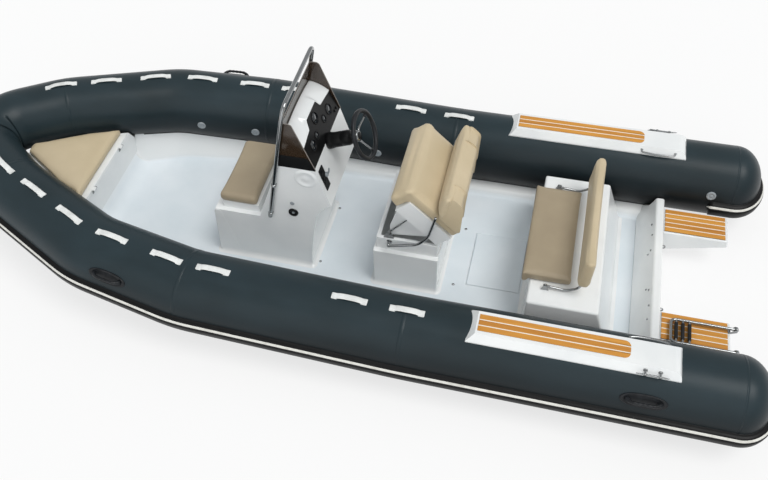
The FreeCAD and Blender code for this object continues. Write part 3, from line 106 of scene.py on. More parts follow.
class Signal:
    """A node's output; arithmetic on it adds Math nodes."""

    def __init__(self, finish, socket):
        self.finish = finish
        self.socket = socket

    def maths(self, operation, *others):
        return self.finish.add("Math", {"operation": operation}, dict(enumerate((self,) + others)))

    def __add__(self, other):
        return self.maths("ADD", other)

    def __sub__(self, other):
        return self.maths("SUBTRACT", other)

    def __rsub__(self, other):
        return self.finish.add("Math", {"operation": "SUBTRACT"}, {0: other, 1: self})

    def __mul__(self, other):
        return self.maths("MULTIPLY", other)

    def clipped(self, low, high):
        """0 below low, 1 above high, straight between them."""
        return self.finish.add("MapRange", {"clamp": True}, {
            "Value": self, "From Min": low, "From Max": high, "To Min": 0.0, "To Max": 1.0})

    __radd__ = __add__
    __rmul__ = __mul__


class Finish:
    """A material made of nodes."""

    def __init__(self, name, **constants):
        self.material = bpy.data.materials.new(name)
        self.material.use_nodes = True
        self.nodes = self.material.node_tree.nodes
        self.links = self.material.node_tree.links
        self.shader = self.nodes["Principled BSDF"]
        self.surface = self.nodes["Material Output"].inputs["Surface"]
        self.set(self.shader, constants)

    def set(self, node, values):
        for key, value in values.items():
            socket = node.inputs[key.replace("_", " ") if isinstance(key, str) else key]
            if isinstance(value, Signal):
                self.links.new(value.socket, socket)
            elif socket.type == "RGBA":
                socket.default_value = (*value, 1.0)
            else:
                socket.default_value = value

    def add(self, kind, settings=None, values=None, out=0):
        """Adds a node of a type, with its settings made first, then its sockets' values or links."""
        node = self.nodes.new("ShaderNode" + kind)
        for key, value in (settings or {}).items():
            if key == "stops":
                ramp = node.color_ramp.elements
                for index, (place, shade) in enumerate(value):
                    stop = ramp[index] if index < 2 else ramp.new(place)
                    stop.position = place
                    stop.color = (*shade, 1.0)
            else:
                setattr(node, key, value)
        self.set(node, values or {})
        return Signal(self, node.outputs[out])

    def place(self, stretch=(1, 1, 1), source="Object"):
        """Object or UV coordinates, stretched."""
        coordinates = self.nodes.new("ShaderNodeTexCoord")
        return self.add("Mapping", {}, {
            "Vector": Signal(self, coordinates.outputs[source]), "Scale": stretch})

    def noise(self, scale, detail=3.0, stretch=(1, 1, 1), roughness=0.5):
        return self.add("TexNoise", {}, {
            "Vector": self.place(stretch), "Scale": scale, "Detail": detail, "Roughness": roughness})

    def blend(self, mask, first, second):
        """One colour turning into another by a mask."""
        return self.add("Mix", {"data_type": "RGBA"}, {0: mask, 6: first, 7: second}, out=2)

    def bump(self, height, depth, strength=1.0, below=None):
        values = {"Height": height, "Distance": depth, "Strength": strength}
        if below is not None:
            values["Normal"] = below
        return self.add("Bump", {}, values)

    def coat(self, **values):
        self.set(self.shader, values)
        return self.material


GEL_WHITE = "eef0f0"


def rgb(code):
    """Linear colour from a web colour."""
    parts = [int(code[i:i + 2], 16) / 255 for i in (0, 2, 4)]
    return tuple(p / 12.92 if p <= 0.04045 else ((p + 0.055) / 1.055) ** 2.4 for p in parts)


def tube_cloth():
    """Coated fabric: satin, a fine cloth grain, faint handling marks, and painted shade that darkens it toward
    the bottom.
    """
    f = Finish("tube_cloth", Specular_IOR_Level=0.22)
    patches = f.noise(1.3, 4.0, (1, 1, 1.6))
    scuffs = f.noise(9.0, 5.0, (0.35, 1, 1))
    grain = f.noise(900.0, 2.0)
    mask = patches * 0.7 + scuffs * 0.3
    cloth = f.blend(mask.clipped(0.3, 0.7), rgb("222d31"), rgb("2b393f"))
    # Painted shade: the fabric fades to near black toward the tube's underside, standing in for the light that
    # does not reach it.
    height = f.add("SeparateXYZ", {}, {"Vector": f.place()}, out=2)
    colour = f.blend(height.clipped(0.29, 0.59), rgb("080b0d"), cloth)
    surface = f.bump(grain, 0.00035, 0.5)
    surface = f.bump(patches, 0.004, 0.35, surface)
    return f.coat(Base_Color=colour, Roughness=scuffs * 0.14 + 0.30, Normal=surface)


def white_gelcoat():
    """Glossy moulded laminate with a faint ripple and a little handling dirt."""
    f = Finish("white_gelcoat", Specular_IOR_Level=0.5, Coat_Weight=0.35, Coat_Roughness=0.06)
    ripple = f.noise(14.0, 2.0)
    dirt = f.noise(2.6, 5.0)
    colour = f.blend(dirt.clipped(0.42, 0.75), rgb(GEL_WHITE), rgb("e2e5e6"))
    return f.coat(Base_Color=colour, Roughness=dirt * 0.12 + 0.16, Normal=f.bump(ripple, 0.0015, 0.25))


def sole_gelcoat():
    """Pale floor with a stippled grip pattern; its sides are plain white, by the mesh's own mask."""
    f = Finish("sole_gelcoat", Specular_IOR_Level=0.5)
    tread = f.add("Attribute", {"attribute_name": "tread"}, {}, out=2)
    stipple = f.add("TexVoronoi", {}, {"Vector": f.place(), "Scale": 260.0})
    dirt = f.noise(2.2, 5.0)
    floor = f.blend(dirt.clipped(0.35, 0.75), rgb("e4ebf0"), rgb("d6e0e6"))
    colour = f.blend(tread, rgb(GEL_WHITE), floor)
    relief = f.bump(stipple * tread, 0.0008, 0.5)
    return f.coat(Base_Color=colour, Roughness=tread * 0.24 + 0.17, Normal=relief)


def strake_rubber():
    """Black extruded rubber, dulled on its crown by rubbing."""
    f = Finish("strake_rubber", Specular_IOR_Level=0.22)
    drawn = f.noise(40.0, 3.0, (0.05, 1, 1))
    scuffs = f.noise(16.0, 6.0)
    colour = f.blend(scuffs.clipped(0.5, 0.8), rgb("070708"), rgb("101112"))
    return f.coat(Base_Color=colour, Roughness=scuffs * 0.3 + 0.28, Normal=f.bump(drawn, 0.001, 0.4))


def white_webbing():
    """Woven strap: bars across and a herringbone along, on the strap's own coordinates."""
    f = Finish("white_webbing", Specular_IOR_Level=0.25, Sheen_Weight=0.2)
    bars, ribs = (
        f.add("TexWave", {"wave_type": "BANDS", "bands_direction": way}, {
            "Vector": f.place((1, 1, 1), "UV"), "Scale": scale, "Distortion": distortion})
        for way, scale, distortion in (("X", 90.0, 0.6), ("Y", 60.0, 0.3)))
    weave = bars * ribs
    wear = f.noise(12.0, 4.0)
    colour = f.blend(wear.clipped(0.4, 0.8), rgb("eceeed"), rgb("cfd1cf"))
    return f.coat(Base_Color=colour, Roughness=weave * 0.15 + 0.6, Normal=f.bump(weave, 0.0008, 0.8))


def black_rubber():
    """Moulded rubber or plastic with a leathery grain."""
    f = Finish("black_rubber", Specular_IOR_Level=0.3)
    grain = f.add("TexVoronoi", {"feature": "DISTANCE_TO_EDGE"}, {"Vector": f.place(), "Scale": 420.0})
    haze = f.noise(20.0, 4.0)
    colour = f.blend(haze.clipped(0.4, 0.8), rgb("15171a"), rgb("24272b"))
    return f.coat(Base_Color=colour, Roughness=haze * 0.2 + 0.32, Normal=f.bump(grain, 0.0004, 0.45))


def teak_wood():
    """Oiled teak: long grain along X, fine pores, each plank a little different."""
    f = Finish("teak_wood", Specular_IOR_Level=0.35)
    plank = f.add("Attribute", {"attribute_name": "plank"}, {}, out=2)
    grain = f.noise(60.0, 6.0, (0.05, 1, 1), roughness=0.62)
    figure = f.noise(9.0, 3.0, (0.12, 1, 1))
    pores = f.noise(500.0, 2.0, (0.04, 1, 1))
    tone = grain * 0.55 + figure * 0.3 + plank * 0.25
    stops = ((0.30, rgb("b2742e")), (0.60, rgb("d3943f")), (0.8, rgb("e2ab5b")))
    colour = f.add("ValToRGB", {"stops": stops}, {"Fac": tone})
    return f.coat(Base_Color=colour, Roughness=grain * 0.2 + 0.38, Normal=f.bump(pores, 0.0004, 0.6))


def polished_steel():
    """Bright stainless steel with faint polishing marks and finger haze, its colour kept dark as a painted
    reflection of dark surroundings.
    """
    f = Finish("polished_steel", Metallic=1.0)
    marks = f.noise(90.0, 4.0, (1, 1, 0.3))
    haze = f.noise(12.0, 3.0)
    # Painted reflection: the steel's colour is darker than bare steel, standing in for the dark surroundings
    # it would mirror.
    colour = f.blend(haze, rgb("8b8d8e"), rgb("a9abac"))
    rough = marks * 0.1 + haze * 0.06 + 0.05
    return f.coat(Base_Color=colour, Roughness=rough, Normal=f.bump(marks, 0.0002, 0.3))


def vinyl(name, shade, light):
    """Marine vinyl: leather grain, soft creases and slightly darker hollows."""
    f = Finish(name, Specular_IOR_Level=0.4, Sheen_Weight=0.1, Sheen_Roughness=0.5)
    pebble = f.add("TexVoronoi", {"feature": "SMOOTH_F1"}, {"Vector": f.place(), "Scale": 330.0})
    pull = f.noise(7.0, 4.0)
    tone = f.noise(3.0, 3.0)
    colour = f.blend(tone.clipped(0.35, 0.7), rgb(shade), rgb(light))
    surface = f.bump(pull, 0.004, 0.35, f.bump(pebble, 0.0006, 0.5))
    return f.coat(Base_Color=colour, Roughness=pebble * 0.15 + 0.42, Normal=surface)


def smoked_acrylic():
    """Brown smoked sheet that lets some light through."""
    f = Finish("smoked_acrylic", Specular_IOR_Level=0.5)
    haze = f.noise(5.0, 3.0)
    colour = f.blend(haze, rgb("33261b"), rgb("3f3022"))
    return f.coat(Base_Color=colour, Roughness=haze * 0.05 + 0.04, Alpha=haze * 0.06 + 0.82)


def instrument_black():
    """Near black plastic with a fine grain and a little haze."""
    f = Finish("instrument_black", Specular_IOR_Level=0.16)
    grain = f.noise(700.0, 2.0)
    haze = f.noise(10.0, 3.0)
    colour = f.blend(haze, rgb("0b0b0c"), rgb("151617"))
    return f.coat(Base_Color=colour, Roughness=haze * 0.15 + 0.3, Normal=f.bump(grain, 0.0002, 0.4))


def plain(name, first, second, scale, detail, rough, grain=None, span=None, **constants):
    """Two shades mixed by one noise, which also sets the roughness and the relief.

    rough is the noise's share and what it is added to, grain the relief's depth and strength, and
    span the noise's range from the first shade to the second."""
    f = Finish(name, **constants)
    wear = f.noise(scale, detail)
    colour = f.blend(wear.clipped(*span) if span else wear, rgb(first), rgb(second))
    values = {"Normal": f.bump(wear, *grain)} if grain else {}
    return f.coat(Base_Color=colour, Roughness=wear * rough[0] + rough[1], **values)


CLOTH = tube_cloth()
GELCOAT = white_gelcoat()
SOLE = sole_gelcoat()
STRAKE = strake_rubber()
STRIPE = plain(
    "stripe_rubber", "dddcd6", "bdbab2", 22.0, 6.0, (0.2, 0.4), (0.0004, 0.4), (0.5, 0.85),
    Specular_IOR_Level=0.4)
WEBBING = white_webbing()
RUBBER = black_rubber()
TEAK = teak_wood()
CAULK = plain(
    "pale_caulk", "f6f1e6", "e6dfd0", 40.0, 4.0, (0.2, 0.45), (0.0003, 0.4), Specular_IOR_Level=0.3)
STEEL = polished_steel()
VINYL = vinyl("beige_vinyl", "c3b394", "cdbd9f")
# A darker copy of the beige vinyl: painted shade for the two seats that lie in the shadow of the console and
# of the rear backrest.
SHADED_VINYL = vinyl("shaded_vinyl", "9d8f78", "a99b82")
ACRYLIC = smoked_acrylic()
# The bright polished rim of a smoked sheet, and a dark instrument face under glass
SCREEN_EDGE = plain("screen_edge", "6f6a66", "8c8782", 30.0, 2.0, (0.1, 0.12), Specular_IOR_Level=0.6)
BLACK = instrument_black()
GREY = plain(
    "grey_plastic", "9aa1a5", "82898e", 60.0, 3.0, (0.2, 0.35), (0.0003, 0.3), Specular_IOR_Level=0.45)
DIAL = plain(
    "dial_glass", "101418", "1b2228", 30.0, 2.0, (0.05, 0.08), Specular_IOR_Level=0.6,
    Coat_Weight=1.0, Coat_Roughness=0.02)


# Meshes from numpy grids

def quads(rows, columns, loop_rows=False, loop_columns=False):
    """Corner numbers of a grid's faces, wrapped round where it loops."""
    i, j = np.meshgrid(
        np.arange(rows if loop_rows else rows - 1), np.arange(columns if loop_columns else columns - 1),
        indexing="ij")
    ahead, beside = (i + 1) % rows, (j + 1) % columns
    corners = [i * columns + j, ahead * columns + j, ahead * columns + beside, i * columns + beside]
    return np.stack(corners, axis=-1).reshape(-1, 4)


class Form:
    """Points, faces and per-point values that are gathered into one mesh."""

    def __init__(self):
        self.points = []
        self.faces = []
        self.values = {}
        self.count = 0

    def sheet(self, grid, loop_rows=False, loop_columns=False, uv=(0.0, 0.0), **values):
        """Adds a grid of points, rows by columns by 3."""
        rows, columns = grid.shape[:2]
        self.faces.append(quads(rows, columns, loop_rows, loop_columns) + self.count)
        self.points.append(grid.reshape(-1, 3))
        self.values.setdefault("uv", []).append(np.broadcast_to(uv, (rows, columns, 2)).reshape(-1, 2))
        for key, value in values.items():
            self.values.setdefault(key, []).append(np.broadcast_to(value, (rows, columns)).ravel())
        self.count += rows * columns
        return self

    def piece(self, name, finish, body="boat", slot=None, replaces=(), merge=1e-5, outward=True):
        """Makes the mesh, closes its seams and poles, turns it outwards and lets it ride a body."""
        mesh = bpy.data.meshes.new(name)
        faces = np.concatenate(self.faces)
        mesh.from_pydata(np.concatenate(self.points).tolist(), [], faces.tolist())
        uv = np.concatenate(self.values["uv"])[faces.ravel()]
        mesh.uv_layers.new(name="UVMap").data.foreach_set("uv", uv.ravel())
        for key, value in self.values.items():
            if key != "uv":
                rows = mesh.attributes.new(key, "FLOAT", "POINT").data
                rows.foreach_set("value", np.concatenate(value))
        work = bmesh.new()
        work.from_mesh(mesh)
        bmesh.ops.remove_doubles(work, verts=work.verts, dist=merge)
        if outward:
            bmesh.ops.recalc_face_normals(work, faces=work.faces)
        work.to_mesh(mesh)
        work.free()
        mesh.materials.append(finish)
        mesh.shade_smooth()
        settle(bpy.data.objects.new(name, mesh), body, replaces)


def settle(item, body="boat", replaces=()):
    """Puts the item in the scene on its body and the nodes it replaces."""
    if item.name not in bpy.context.scene.collection.objects:
        bpy.context.scene.collection.objects.link(item)
    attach(item, body)
    if replaces:
        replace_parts(item, *replaces)


def unit(vectors):
    """Each row divided by its own length."""
    return vectors / np.maximum(np.linalg.norm(vectors, axis=-1, keepdims=True), 1e-12)


def softened(points, reach, steps=6):
    """A polyline whose corners are arcs that start reach metres before each corner."""
    points = np.asarray(points, float)
    reach = np.broadcast_to(reach, len(points))
    made = [points[:1]]
    for before, corner, after, cut in zip(points, points[1:], points[2:], reach[1:]):
        back, ahead = unit(before - corner), unit(after - corner)
        half = math.acos(np.clip(-back @ ahead, -1, 1)) / 2
        if half < 1e-3:
            made.append(corner[None])
            continue
        radius = cut / math.tan(half)
        centre = corner + unit(back + ahead) * radius / math.cos(half)
        start, end = corner + back * cut - centre, corner + ahead * cut - centre
        share = np.linspace(0, 1, steps + 1)[:, None]
        swept = np.sin((1 - share) * 2 * half) * start + np.sin(share * 2 * half) * end
        made.append(centre + swept / math.sin(2 * half))
    made.append(points[-1:])
    return np.concatenate(made)


def dense(path, step):
    """The path with points no more than step apart."""
    path = np.asarray(path, float)
    spans = np.linalg.norm(np.diff(path, axis=0), axis=1)
    counts = np.maximum(1, np.ceil(spans / step).astype(int))
    pieces = [a + (b - a) * np.linspace(0, 1, n, endpoint=False)[:, None]
              for a, b, n in zip(path, path[1:], counts)]
    return np.concatenate(pieces + [path[-1:]])


def frames(path):
    """Tangent and two normals at each point; the normals are carried along without twist."""
    tangent = unit(np.gradient(path, axis=0))
    spare = np.array([0.0, 0.0, 1.0]) if abs(tangent[0, 2]) < 0.9 else np.array([0.0, 1.0, 0.0])
    normal = unit(spare - tangent[0] * (spare @ tangent[0]))
    normals = [normal]
    for here in tangent[1:]:
        normal = unit(normal - here * (here @ normal))
        normals.append(normal)
    normals = np.array(normals)
    return tangent, normals, np.cross(tangent, normals)


def bar(form, path, radius, sides=16, rounding=0.5):
    """A round bar along a path, its ends closed by domes rounding radii deep."""
    path = np.asarray(path, float)
    tangent, first, second = frames(path)
    radius = np.broadcast_to(radius, len(path)).astype(float)
    dome = np.linspace(0, math.pi / 2, 5)
    start = path[0] - tangent[0] * (np.cos(dome[:-1, None]) * radius[0] * rounding)
    end = path[-1] + tangent[-1] * (np.sin(dome[1:, None]) * radius[-1] * rounding)
    centres = np.concatenate([start, path, end])
    girth = np.concatenate([np.sin(dome[:-1]) * radius[0], radius, np.cos(dome[1:]) * radius[-1]])
    first, second = (
        np.concatenate([np.repeat(rows[:1], 4, 0), rows, np.repeat(rows[-1:], 4, 0)])
        for rows in (first, second))
    turn = np.linspace(0, TAU, sides, endpoint=False)[None, :, None]
    ring = first[:, None] * np.cos(turn) + second[:, None] * np.sin(turn)
    form.sheet(centres[:, None] + girth[:, None, None] * ring, loop_columns=True)


def turned(form, profile, place, axis, sides=32):
    """A profile of (radius, height) spun about an axis through a place."""
    profile = np.asarray(profile, float)
    axis = unit(np.asarray(axis, float))
    spare = np.array([0.0, 0.0, 1.0]) if abs(axis[2]) < 0.9 else np.array([1.0, 0.0, 0.0])
    first = unit(np.cross(spare, axis))
    second = np.cross(axis, first)
    turn = np.linspace(0, TAU, sides, endpoint=False)[None, :, None]
    ring = first * np.cos(turn) + second * np.sin(turn)
    grid = np.asarray(place, float) + profile[:, 0, None, None] * ring + profile[:, 1, None, None] * axis
    form.sheet(grid, loop_columns=True)


def oblong(length, width, corner, steps=6):
    """Outline of a rectangle with round corners, anticlockwise, about the origin."""
    arc = np.linspace(0, math.pi / 2, steps)
    pieces = []
    for index, (sx, sy) in enumerate(((1, 1), (-1, 1), (-1, -1), (1, -1))):
        centre = np.array([sx * (length / 2 - corner), sy * (width / 2 - corner)])
        turn = arc + index * math.pi / 2
        pieces.append(centre + corner * np.stack([np.cos(turn), np.sin(turn)], axis=1))
    return np.concatenate(pieces)


def inset(outline, distance):
    """The outline moved inwards along its own normals."""
    ahead = unit(np.roll(outline, -1, 0) - np.roll(outline, 1, 0))
    normal = np.stack([ahead[:, 1], -ahead[:, 0]], axis=1)
    return outline - normal * distance


def plate(form, outline, thick, edge, place, along=(1, 0, 0), across=(0, 1, 0), crown=0.0, **values):
    """A flat piece with rolled edges: rings of the outline run up the edge and close at the middle."""
    turn = np.linspace(0, math.pi / 2, 5)
    roll = [(edge * (1 - math.cos(t)), edge * (1 - math.sin(t))) for t in turn]
    levels = roll[::-1] + [(shift, thick - height) for shift, height in roll]
    stack = [(inset(outline, shift), height) for shift, height in levels]
    middle = outline.mean(axis=0)
    low, top = stack[0], stack[-1]
    inner = [(middle + (low[0] - middle) * s, low[1]) for s in (0.0, 0.5, 0.96)]
    outer = [(middle + (top[0] - middle) * s, top[1] + crown * (1 - s ** 2)) for s in (0.96, 0.6, 0.3, 0.0)]
    along, across = unit(np.asarray(along, float)), unit(np.asarray(across, float))
    upward = np.cross(along, across)
    grid = np.stack([
        np.asarray(place, float) + flat[:, :1] * along + flat[:, 1:] * across + height * upward
        for flat, height in inner + stack + outer])
    form.sheet(grid, loop_columns=True, **values)


# The buoyancy tube: one path from the port stern round the bow to the starboard stern

TUBE_RADIUS = 0.280
TUBE_Y = 0.993
TUBE_Z = 0.330
STERN_X = -0.490
STERN_CAP = 0.210
# Distance forward, inset, rise and loss of radius at each bend of one side
TUBE_BENDS = (
    (STERN_X, 0.0, 0.0, 0.0), (1.700, 0.0, 0.0, 0.0), (3.300, 0.008, 0.062, 0.0),
    (4.100, 0.123, 0.145, 0.008), (4.950, 0.503, 0.230, 0.022), (5.340, 0.783, 0.260, 0.030))
TUBE_NOSE = (5.430, TUBE_Y, 0.265, 0.032)
BEND_REACH = 0.110


def tube_spine():
    """Dense centre, radius and heading of the tube; each bend is an arc BEND_REACH long on both sides."""
    half = np.array(TUBE_BENDS + (TUBE_NOSE,))
    points = np.stack([half[:, 0], TUBE_Y - half[:, 1], TUBE_Z + half[:, 2]], axis=1)
    radii = TUBE_RADIUS - half[:, 3]
    mirrored = points[-2::-1] * np.array([1, -1, 1])
    corners = np.concatenate([points, mirrored])
    girth = np.concatenate([radii, radii[-2::-1]])
    path = dense(softened(corners, BEND_REACH, 8), 0.04)
    run = np.concatenate([[0], np.cumsum(np.linalg.norm(np.diff(corners, axis=0), axis=1))])
    along = np.concatenate([[0], np.cumsum(np.linalg.norm(np.diff(path, axis=0), axis=1))])
    radius = np.interp(along / along[-1], run / run[-1], girth)
    heading = unit(np.gradient(path, axis=0))
    level = heading * np.array([1, 1, 0])
    side = unit(np.stack([-level[:, 1], level[:, 0], np.zeros(len(path))], axis=1))
    return path, radius, side, np.cross(heading, side), along


SPINE, GIRTH, OUTWARD, UPWARD, RUN = tube_spine()
TUBE_LENGTH = RUN[-1]


def at_run(run):
    """Centre, radius, outboard and upward directions at a distance along the tube's spine."""
    def pick(rows):
        return np.stack([np.interp(run, RUN, rows[:, axis]) for axis in range(3)], axis=-1)
    return pick(SPINE), np.interp(run, RUN, GIRTH), unit(pick(OUTWARD)), unit(pick(UPWARD))


def on_tube(run, angle, proud=0.0):
    """A point on the tube: angle in radians from outboard over the top, proud metres off its skin."""
    run, angle, proud = np.broadcast_arrays(run, angle, proud)
    centre, radius, out, upward = at_run(run)
    away = out * np.cos(angle)[..., None] + upward * np.sin(angle)[..., None]
    return centre + away * (radius + proud)[..., None]


def run_at(x):
    """Distance along the port side at which the spine passes x."""
    half = len(SPINE) // 2
    return float(np.interp(x, SPINE[:half, 0], RUN[:half]))


def make_tube():
    """Rings round the spine; at both ends their radius falls as a half ellipse to a pole."""
    turn = np.linspace(0, TAU, 112, endpoint=False)
    body = on_tube(RUN[:, None], turn[None, :])
    dome = np.linspace(0, math.pi / 2, 16)[1:]
    ends = []
    for place, heading in ((0, -1.0), (-1, -1.0)):
        centre, radius, out, upward = SPINE[place], GIRTH[place], OUTWARD[place], UPWARD[place]
        centres = centre + np.array([heading, 0, 0]) * (np.sin(dome) * STERN_CAP)[:, None]
        away = out * np.cos(turn)[:, None] + upward * np.sin(turn)[:, None]
        ends.append(centres[:, None] + away[None] * (radius * np.cos(dome))[:, None, None])
    grid = np.concatenate([ends[0][::-1], body, ends[1]])
    Form().sheet(grid, loop_columns=True).piece(
        "buoyancy_tube", CLOTH, slot="tube_fabric", replaces=("tube_port", "tube_bow", "tube_starboard"))


EDGE_SINK = -0.002


def band(form, runs, angles, proud):
    """A strip on the tube: its edges lie just in the skin and its middle stands proud metres off."""
    lift = np.full((len(runs), len(angles)), EDGE_SINK)
    lift[1:-1, 1:-1] = proud
    form.sheet(on_tube(runs[:, None], angles[None, :], lift))


SEAM_X = (STERN_X, 1.70, 3.30, 4.95)
SEAM_HALF = 0.018
SEAM_BEVEL = 0.003
SEAM_LIFT = 0.0006


def make_seams():
    """Welded tapes round the tube at its stern rings and bends."""
    form = Form()
    rings = [run_at(x) for x in SEAM_X]
    turn = np.linspace(0, TAU, 97)[None, :-1]
    flat = SEAM_HALF - SEAM_BEVEL
    lift = np.array([EDGE_SINK, SEAM_LIFT, SEAM_LIFT, SEAM_LIFT, EDGE_SINK])[:, None]
    for run in rings + [TUBE_LENGTH - run for run in rings]:
        runs = np.clip(run + np.array([-SEAM_HALF, -flat, 0, flat, SEAM_HALF]), 0, TUBE_LENGTH)
        form.sheet(on_tube(runs[:, None], turn, lift), loop_columns=True)
    form.piece("seam_tapes", CLOTH, slot="tube_fabric", outward=False)


# The rubbing strake, wrapped round both stern caps

STRAKE_ANGLE = math.radians(-9)
STRAKE_END_X = -0.316
# Sections from the lower to the upper edge: distance up the skin from the middle, and height off the skin
STRAKE_SECTION = (
    (-0.066, -0.003), (-0.062, 0.002), (-0.058, 0.0065), (-0.054, 0.012), (-0.051, 0.026), (-0.047, 0.037),
    (-0.041, 0.0435), (-0.030, 0.0465), (-0.012, 0.0470), (0.006, 0.0468), (0.016, 0.0455), (0.0275, 0.0405),
    (0.0285, 0.0335), (0.0425, 0.0240), (0.0440, 0.0295), (0.0480, 0.0250), (0.052, 0.018), (0.054, 0.011),
    (0.058, 0.0065), (0.063, 0.002), (0.066, -0.003))
STRIPE_SECTION = (
    (0.0282, 0.0320), (0.0284, 0.0380), (0.0300, 0.0405), (0.0330, 0.0388), (0.0360, 0.0368), (0.0395, 0.0345),
    (0.0425, 0.0322), (0.0436, 0.0295), (0.0425, 0.0230))


def wrap_stations():
    """Centre, plan reach, plan normal and radius from the inner side of the port cap round to the other.

    On a cap the reach runs round half an ellipse of TUBE_RADIUS by STERN_CAP; along the tube it is
    the radius times the outboard direction."""
    stern = np.array([STERN_X, TUBE_Y, TUBE_Z])
    inner_x = np.linspace(STRAKE_END_X, STERN_X, 10)[:-1]
    straight = np.stack([inner_x, np.full(9, TUBE_Y), np.full(9, TUBE_Z)], axis=1)
    inward = np.tile([0.0, -1.0, 0.0], (9, 1))
    turn = np.linspace(math.pi, 0, 41)
    plan = np.stack([-STERN_CAP * np.sin(turn), TUBE_RADIUS * np.cos(turn), np.zeros(41)], axis=1)
    normal = unit(np.stack([-np.sin(turn) / STERN_CAP, np.cos(turn) / TUBE_RADIUS, np.zeros(41)], axis=1))
    centres = np.concatenate([straight, np.tile(stern, (41, 1))])
    reach = np.concatenate([inward * TUBE_RADIUS, plan])
    normals = np.concatenate([inward, normal])
    radii = np.full(50, TUBE_RADIUS)
    upward = np.tile([0.0, 0.0, 1.0], (50, 1))
    flip = np.array([1, -1, 1])
    middle = slice(1, -1)
    return (
        np.concatenate([centres, SPINE[middle], centres[::-1] * flip]),
        np.concatenate([reach, OUTWARD[middle] * GIRTH[middle, None], reach[::-1] * flip]),
        np.concatenate([normals, OUTWARD[middle], normals[::-1] * flip]),
        np.concatenate([radii, GIRTH[middle], radii]),
        np.concatenate([upward, UPWARD[middle], upward]))


def wrapped(section, shrink):
    """A section carried along the wrap; its ends shrink to close."""
    across, proud = np.array(section).T
    centre, reach, normal, radius, upward = wrap_stations()
    scale = np.ones(len(centre))
    scale[[0, -1]] = shrink
    angle = STRAKE_ANGLE + across[None, :] * scale[:, None] / radius[:, None]
    lift = proud[None, :] * scale[:, None] - 0.004 * (1 - scale[:, None])
    cosine, sine = np.cos(angle)[..., None], np.sin(angle)[..., None]
    skin = centre[:, None] + reach[:, None] * cosine + upward[:, None] * radius[:, None, None] * sine
    grid = skin + lift[..., None] * (normal[:, None] * cosine + upward[:, None] * sine)
    return Form().sheet(grid, loop_columns=True)


def make_strake():
    """The strake's section and the stripe's, both swept by the same wrap."""
    wrapped(STRAKE_SECTION, 0.0).piece(
        "rubbing_strake", STRAKE, slot="strake_rubber",
        replaces=("strake_port", "strake_bow", "strake_starboard"), merge=1e-6)
    wrapped(STRIPE_SECTION, 0.2).piece(
        "strake_line", STRIPE, slot="stripe_rubber", replaces=("strake_stripe",), merge=1e-6)


# Webbing handles, moulded grips and valves on the tube

STRAP_X = (1.691, 2.097, 3.085, 3.455, 3.899, 4.276, 4.647, 4.976)
STRAP_HALF = 0.122
STRAP_WIDTH = 0.046
STRAP_BED = 0.0028
STRAP_LIFT = 0.010
STRAP_FREE = 0.72
PATCH_WIDTH = STRAP_WIDTH + 0.012
PATCH_LIFT = 0.0026


def both_sides(x):
    """Distances along the spine of a place at x to port and to starboard."""
    run = run_at(x)
    return run, TUBE_LENGTH - run


def make_straps():
    """Flat tape whose middle is bowed by 1 - (u / STRAP_FREE)^4, over stitched end patches."""
    tape, patches = Form(), Form()
    u = np.linspace(-1, 1, 41)
    v = np.linspace(-0.5, 0.5, 7)
    free = np.clip(1 - (np.abs(u) / STRAP_FREE) ** 4, 0, 1)
    lift = STRAP_BED + STRAP_LIFT * free
    width = STRAP_WIDTH * (1 - 0.07 * free)
    angle = math.pi / 2 + v[None, :] * width[:, None] / TUBE_RADIUS
    uv = np.stack(np.broadcast_arrays(u[:, None] * STRAP_HALF, v[None, :] * STRAP_WIDTH), axis=-1)
    patch_angles = math.pi / 2 + np.linspace(-0.5, 0.5, 9) * PATCH_WIDTH / TUBE_RADIUS
    for x in STRAP_X:
        for run in both_sides(x):
            places = (run + u * STRAP_HALF)[:, None]
            over = on_tube(places, angle, lift[:, None] + 0.0016)
            under = on_tube(places, angle, lift[:, None] - 0.0014)
            grid = np.concatenate([over, under[:, ::-1]], axis=1)
            tape.sheet(grid, loop_columns=True, uv=np.concatenate([uv, uv[:, ::-1]], axis=1))
            for end in (-1, 1):
                runs = run + end * STRAP_HALF * np.linspace(0.66, 1.06, 7)
                band(patches, runs, patch_angles, PATCH_LIFT)
    tape.piece("strap_tapes", WEBBING, slot="webbing", replaces=("grab_straps",), outward=False)
    patches.piece("strap_patches", WEBBING, slot="webbing", outward=False)


GRIP_PORT_X = (3.814, 0.110)
GRIP_STARBOARD_X = (3.674, 0.110)
GRIP_ANGLE = math.radians(28)
GRIP_LENGTH = 0.150
GRIP_WIDTH = 0.050
GRIP_REACH = 0.105
# The pad from its middle to its rim: share of its size, and height off the skin
GRIP_PAD = (
    (0.0, 0.004), (0.3, 0.004), (0.6, 0.004), (0.8, 0.005), (0.88, 0.0095), (0.94, 0.0105), (0.985, 0.007),
    (1.0, -0.002))


def make_grips():
    """An oval pad with a rolled rim and a bowed bar that flares into its ends."""
    form = Form()
    ring = np.linspace(0, TAU, 64, endpoint=False)
    share, lift = np.array(GRIP_PAD).T
    shape = np.abs(np.cos(ring)) ** 0.8 * np.sign(np.cos(ring))
    length = share[:, None] * shape[None, :] * GRIP_LENGTH
    width = share[:, None] * np.sin(ring)[None, :] * GRIP_WIDTH
    u = np.linspace(-1, 1, 33)
    arch = 0.006 + 0.040 * np.clip(1 - np.abs(u) ** 5, 0, 1)
    girth = 0.0105 + 0.006 * np.abs(u) ** 4 + 0.0012 * np.cos(u * 22) * (np.abs(u) < 0.7)
    for run in [run_at(x) for x in GRIP_PORT_X] + [TUBE_LENGTH - run_at(x) for x in GRIP_STARBOARD_X]:
        pad = on_tube(run + length, GRIP_ANGLE + width / TUBE_RADIUS, lift[:, None])
        form.sheet(pad, loop_columns=True)
        bar(form, on_tube(run + u * GRIP_REACH, GRIP_ANGLE, arch), girth, sides=20)
    form.piece("moulded_grips", RUBBER, slot="moulded_rubber", replaces=("side_grips",), outward=False)


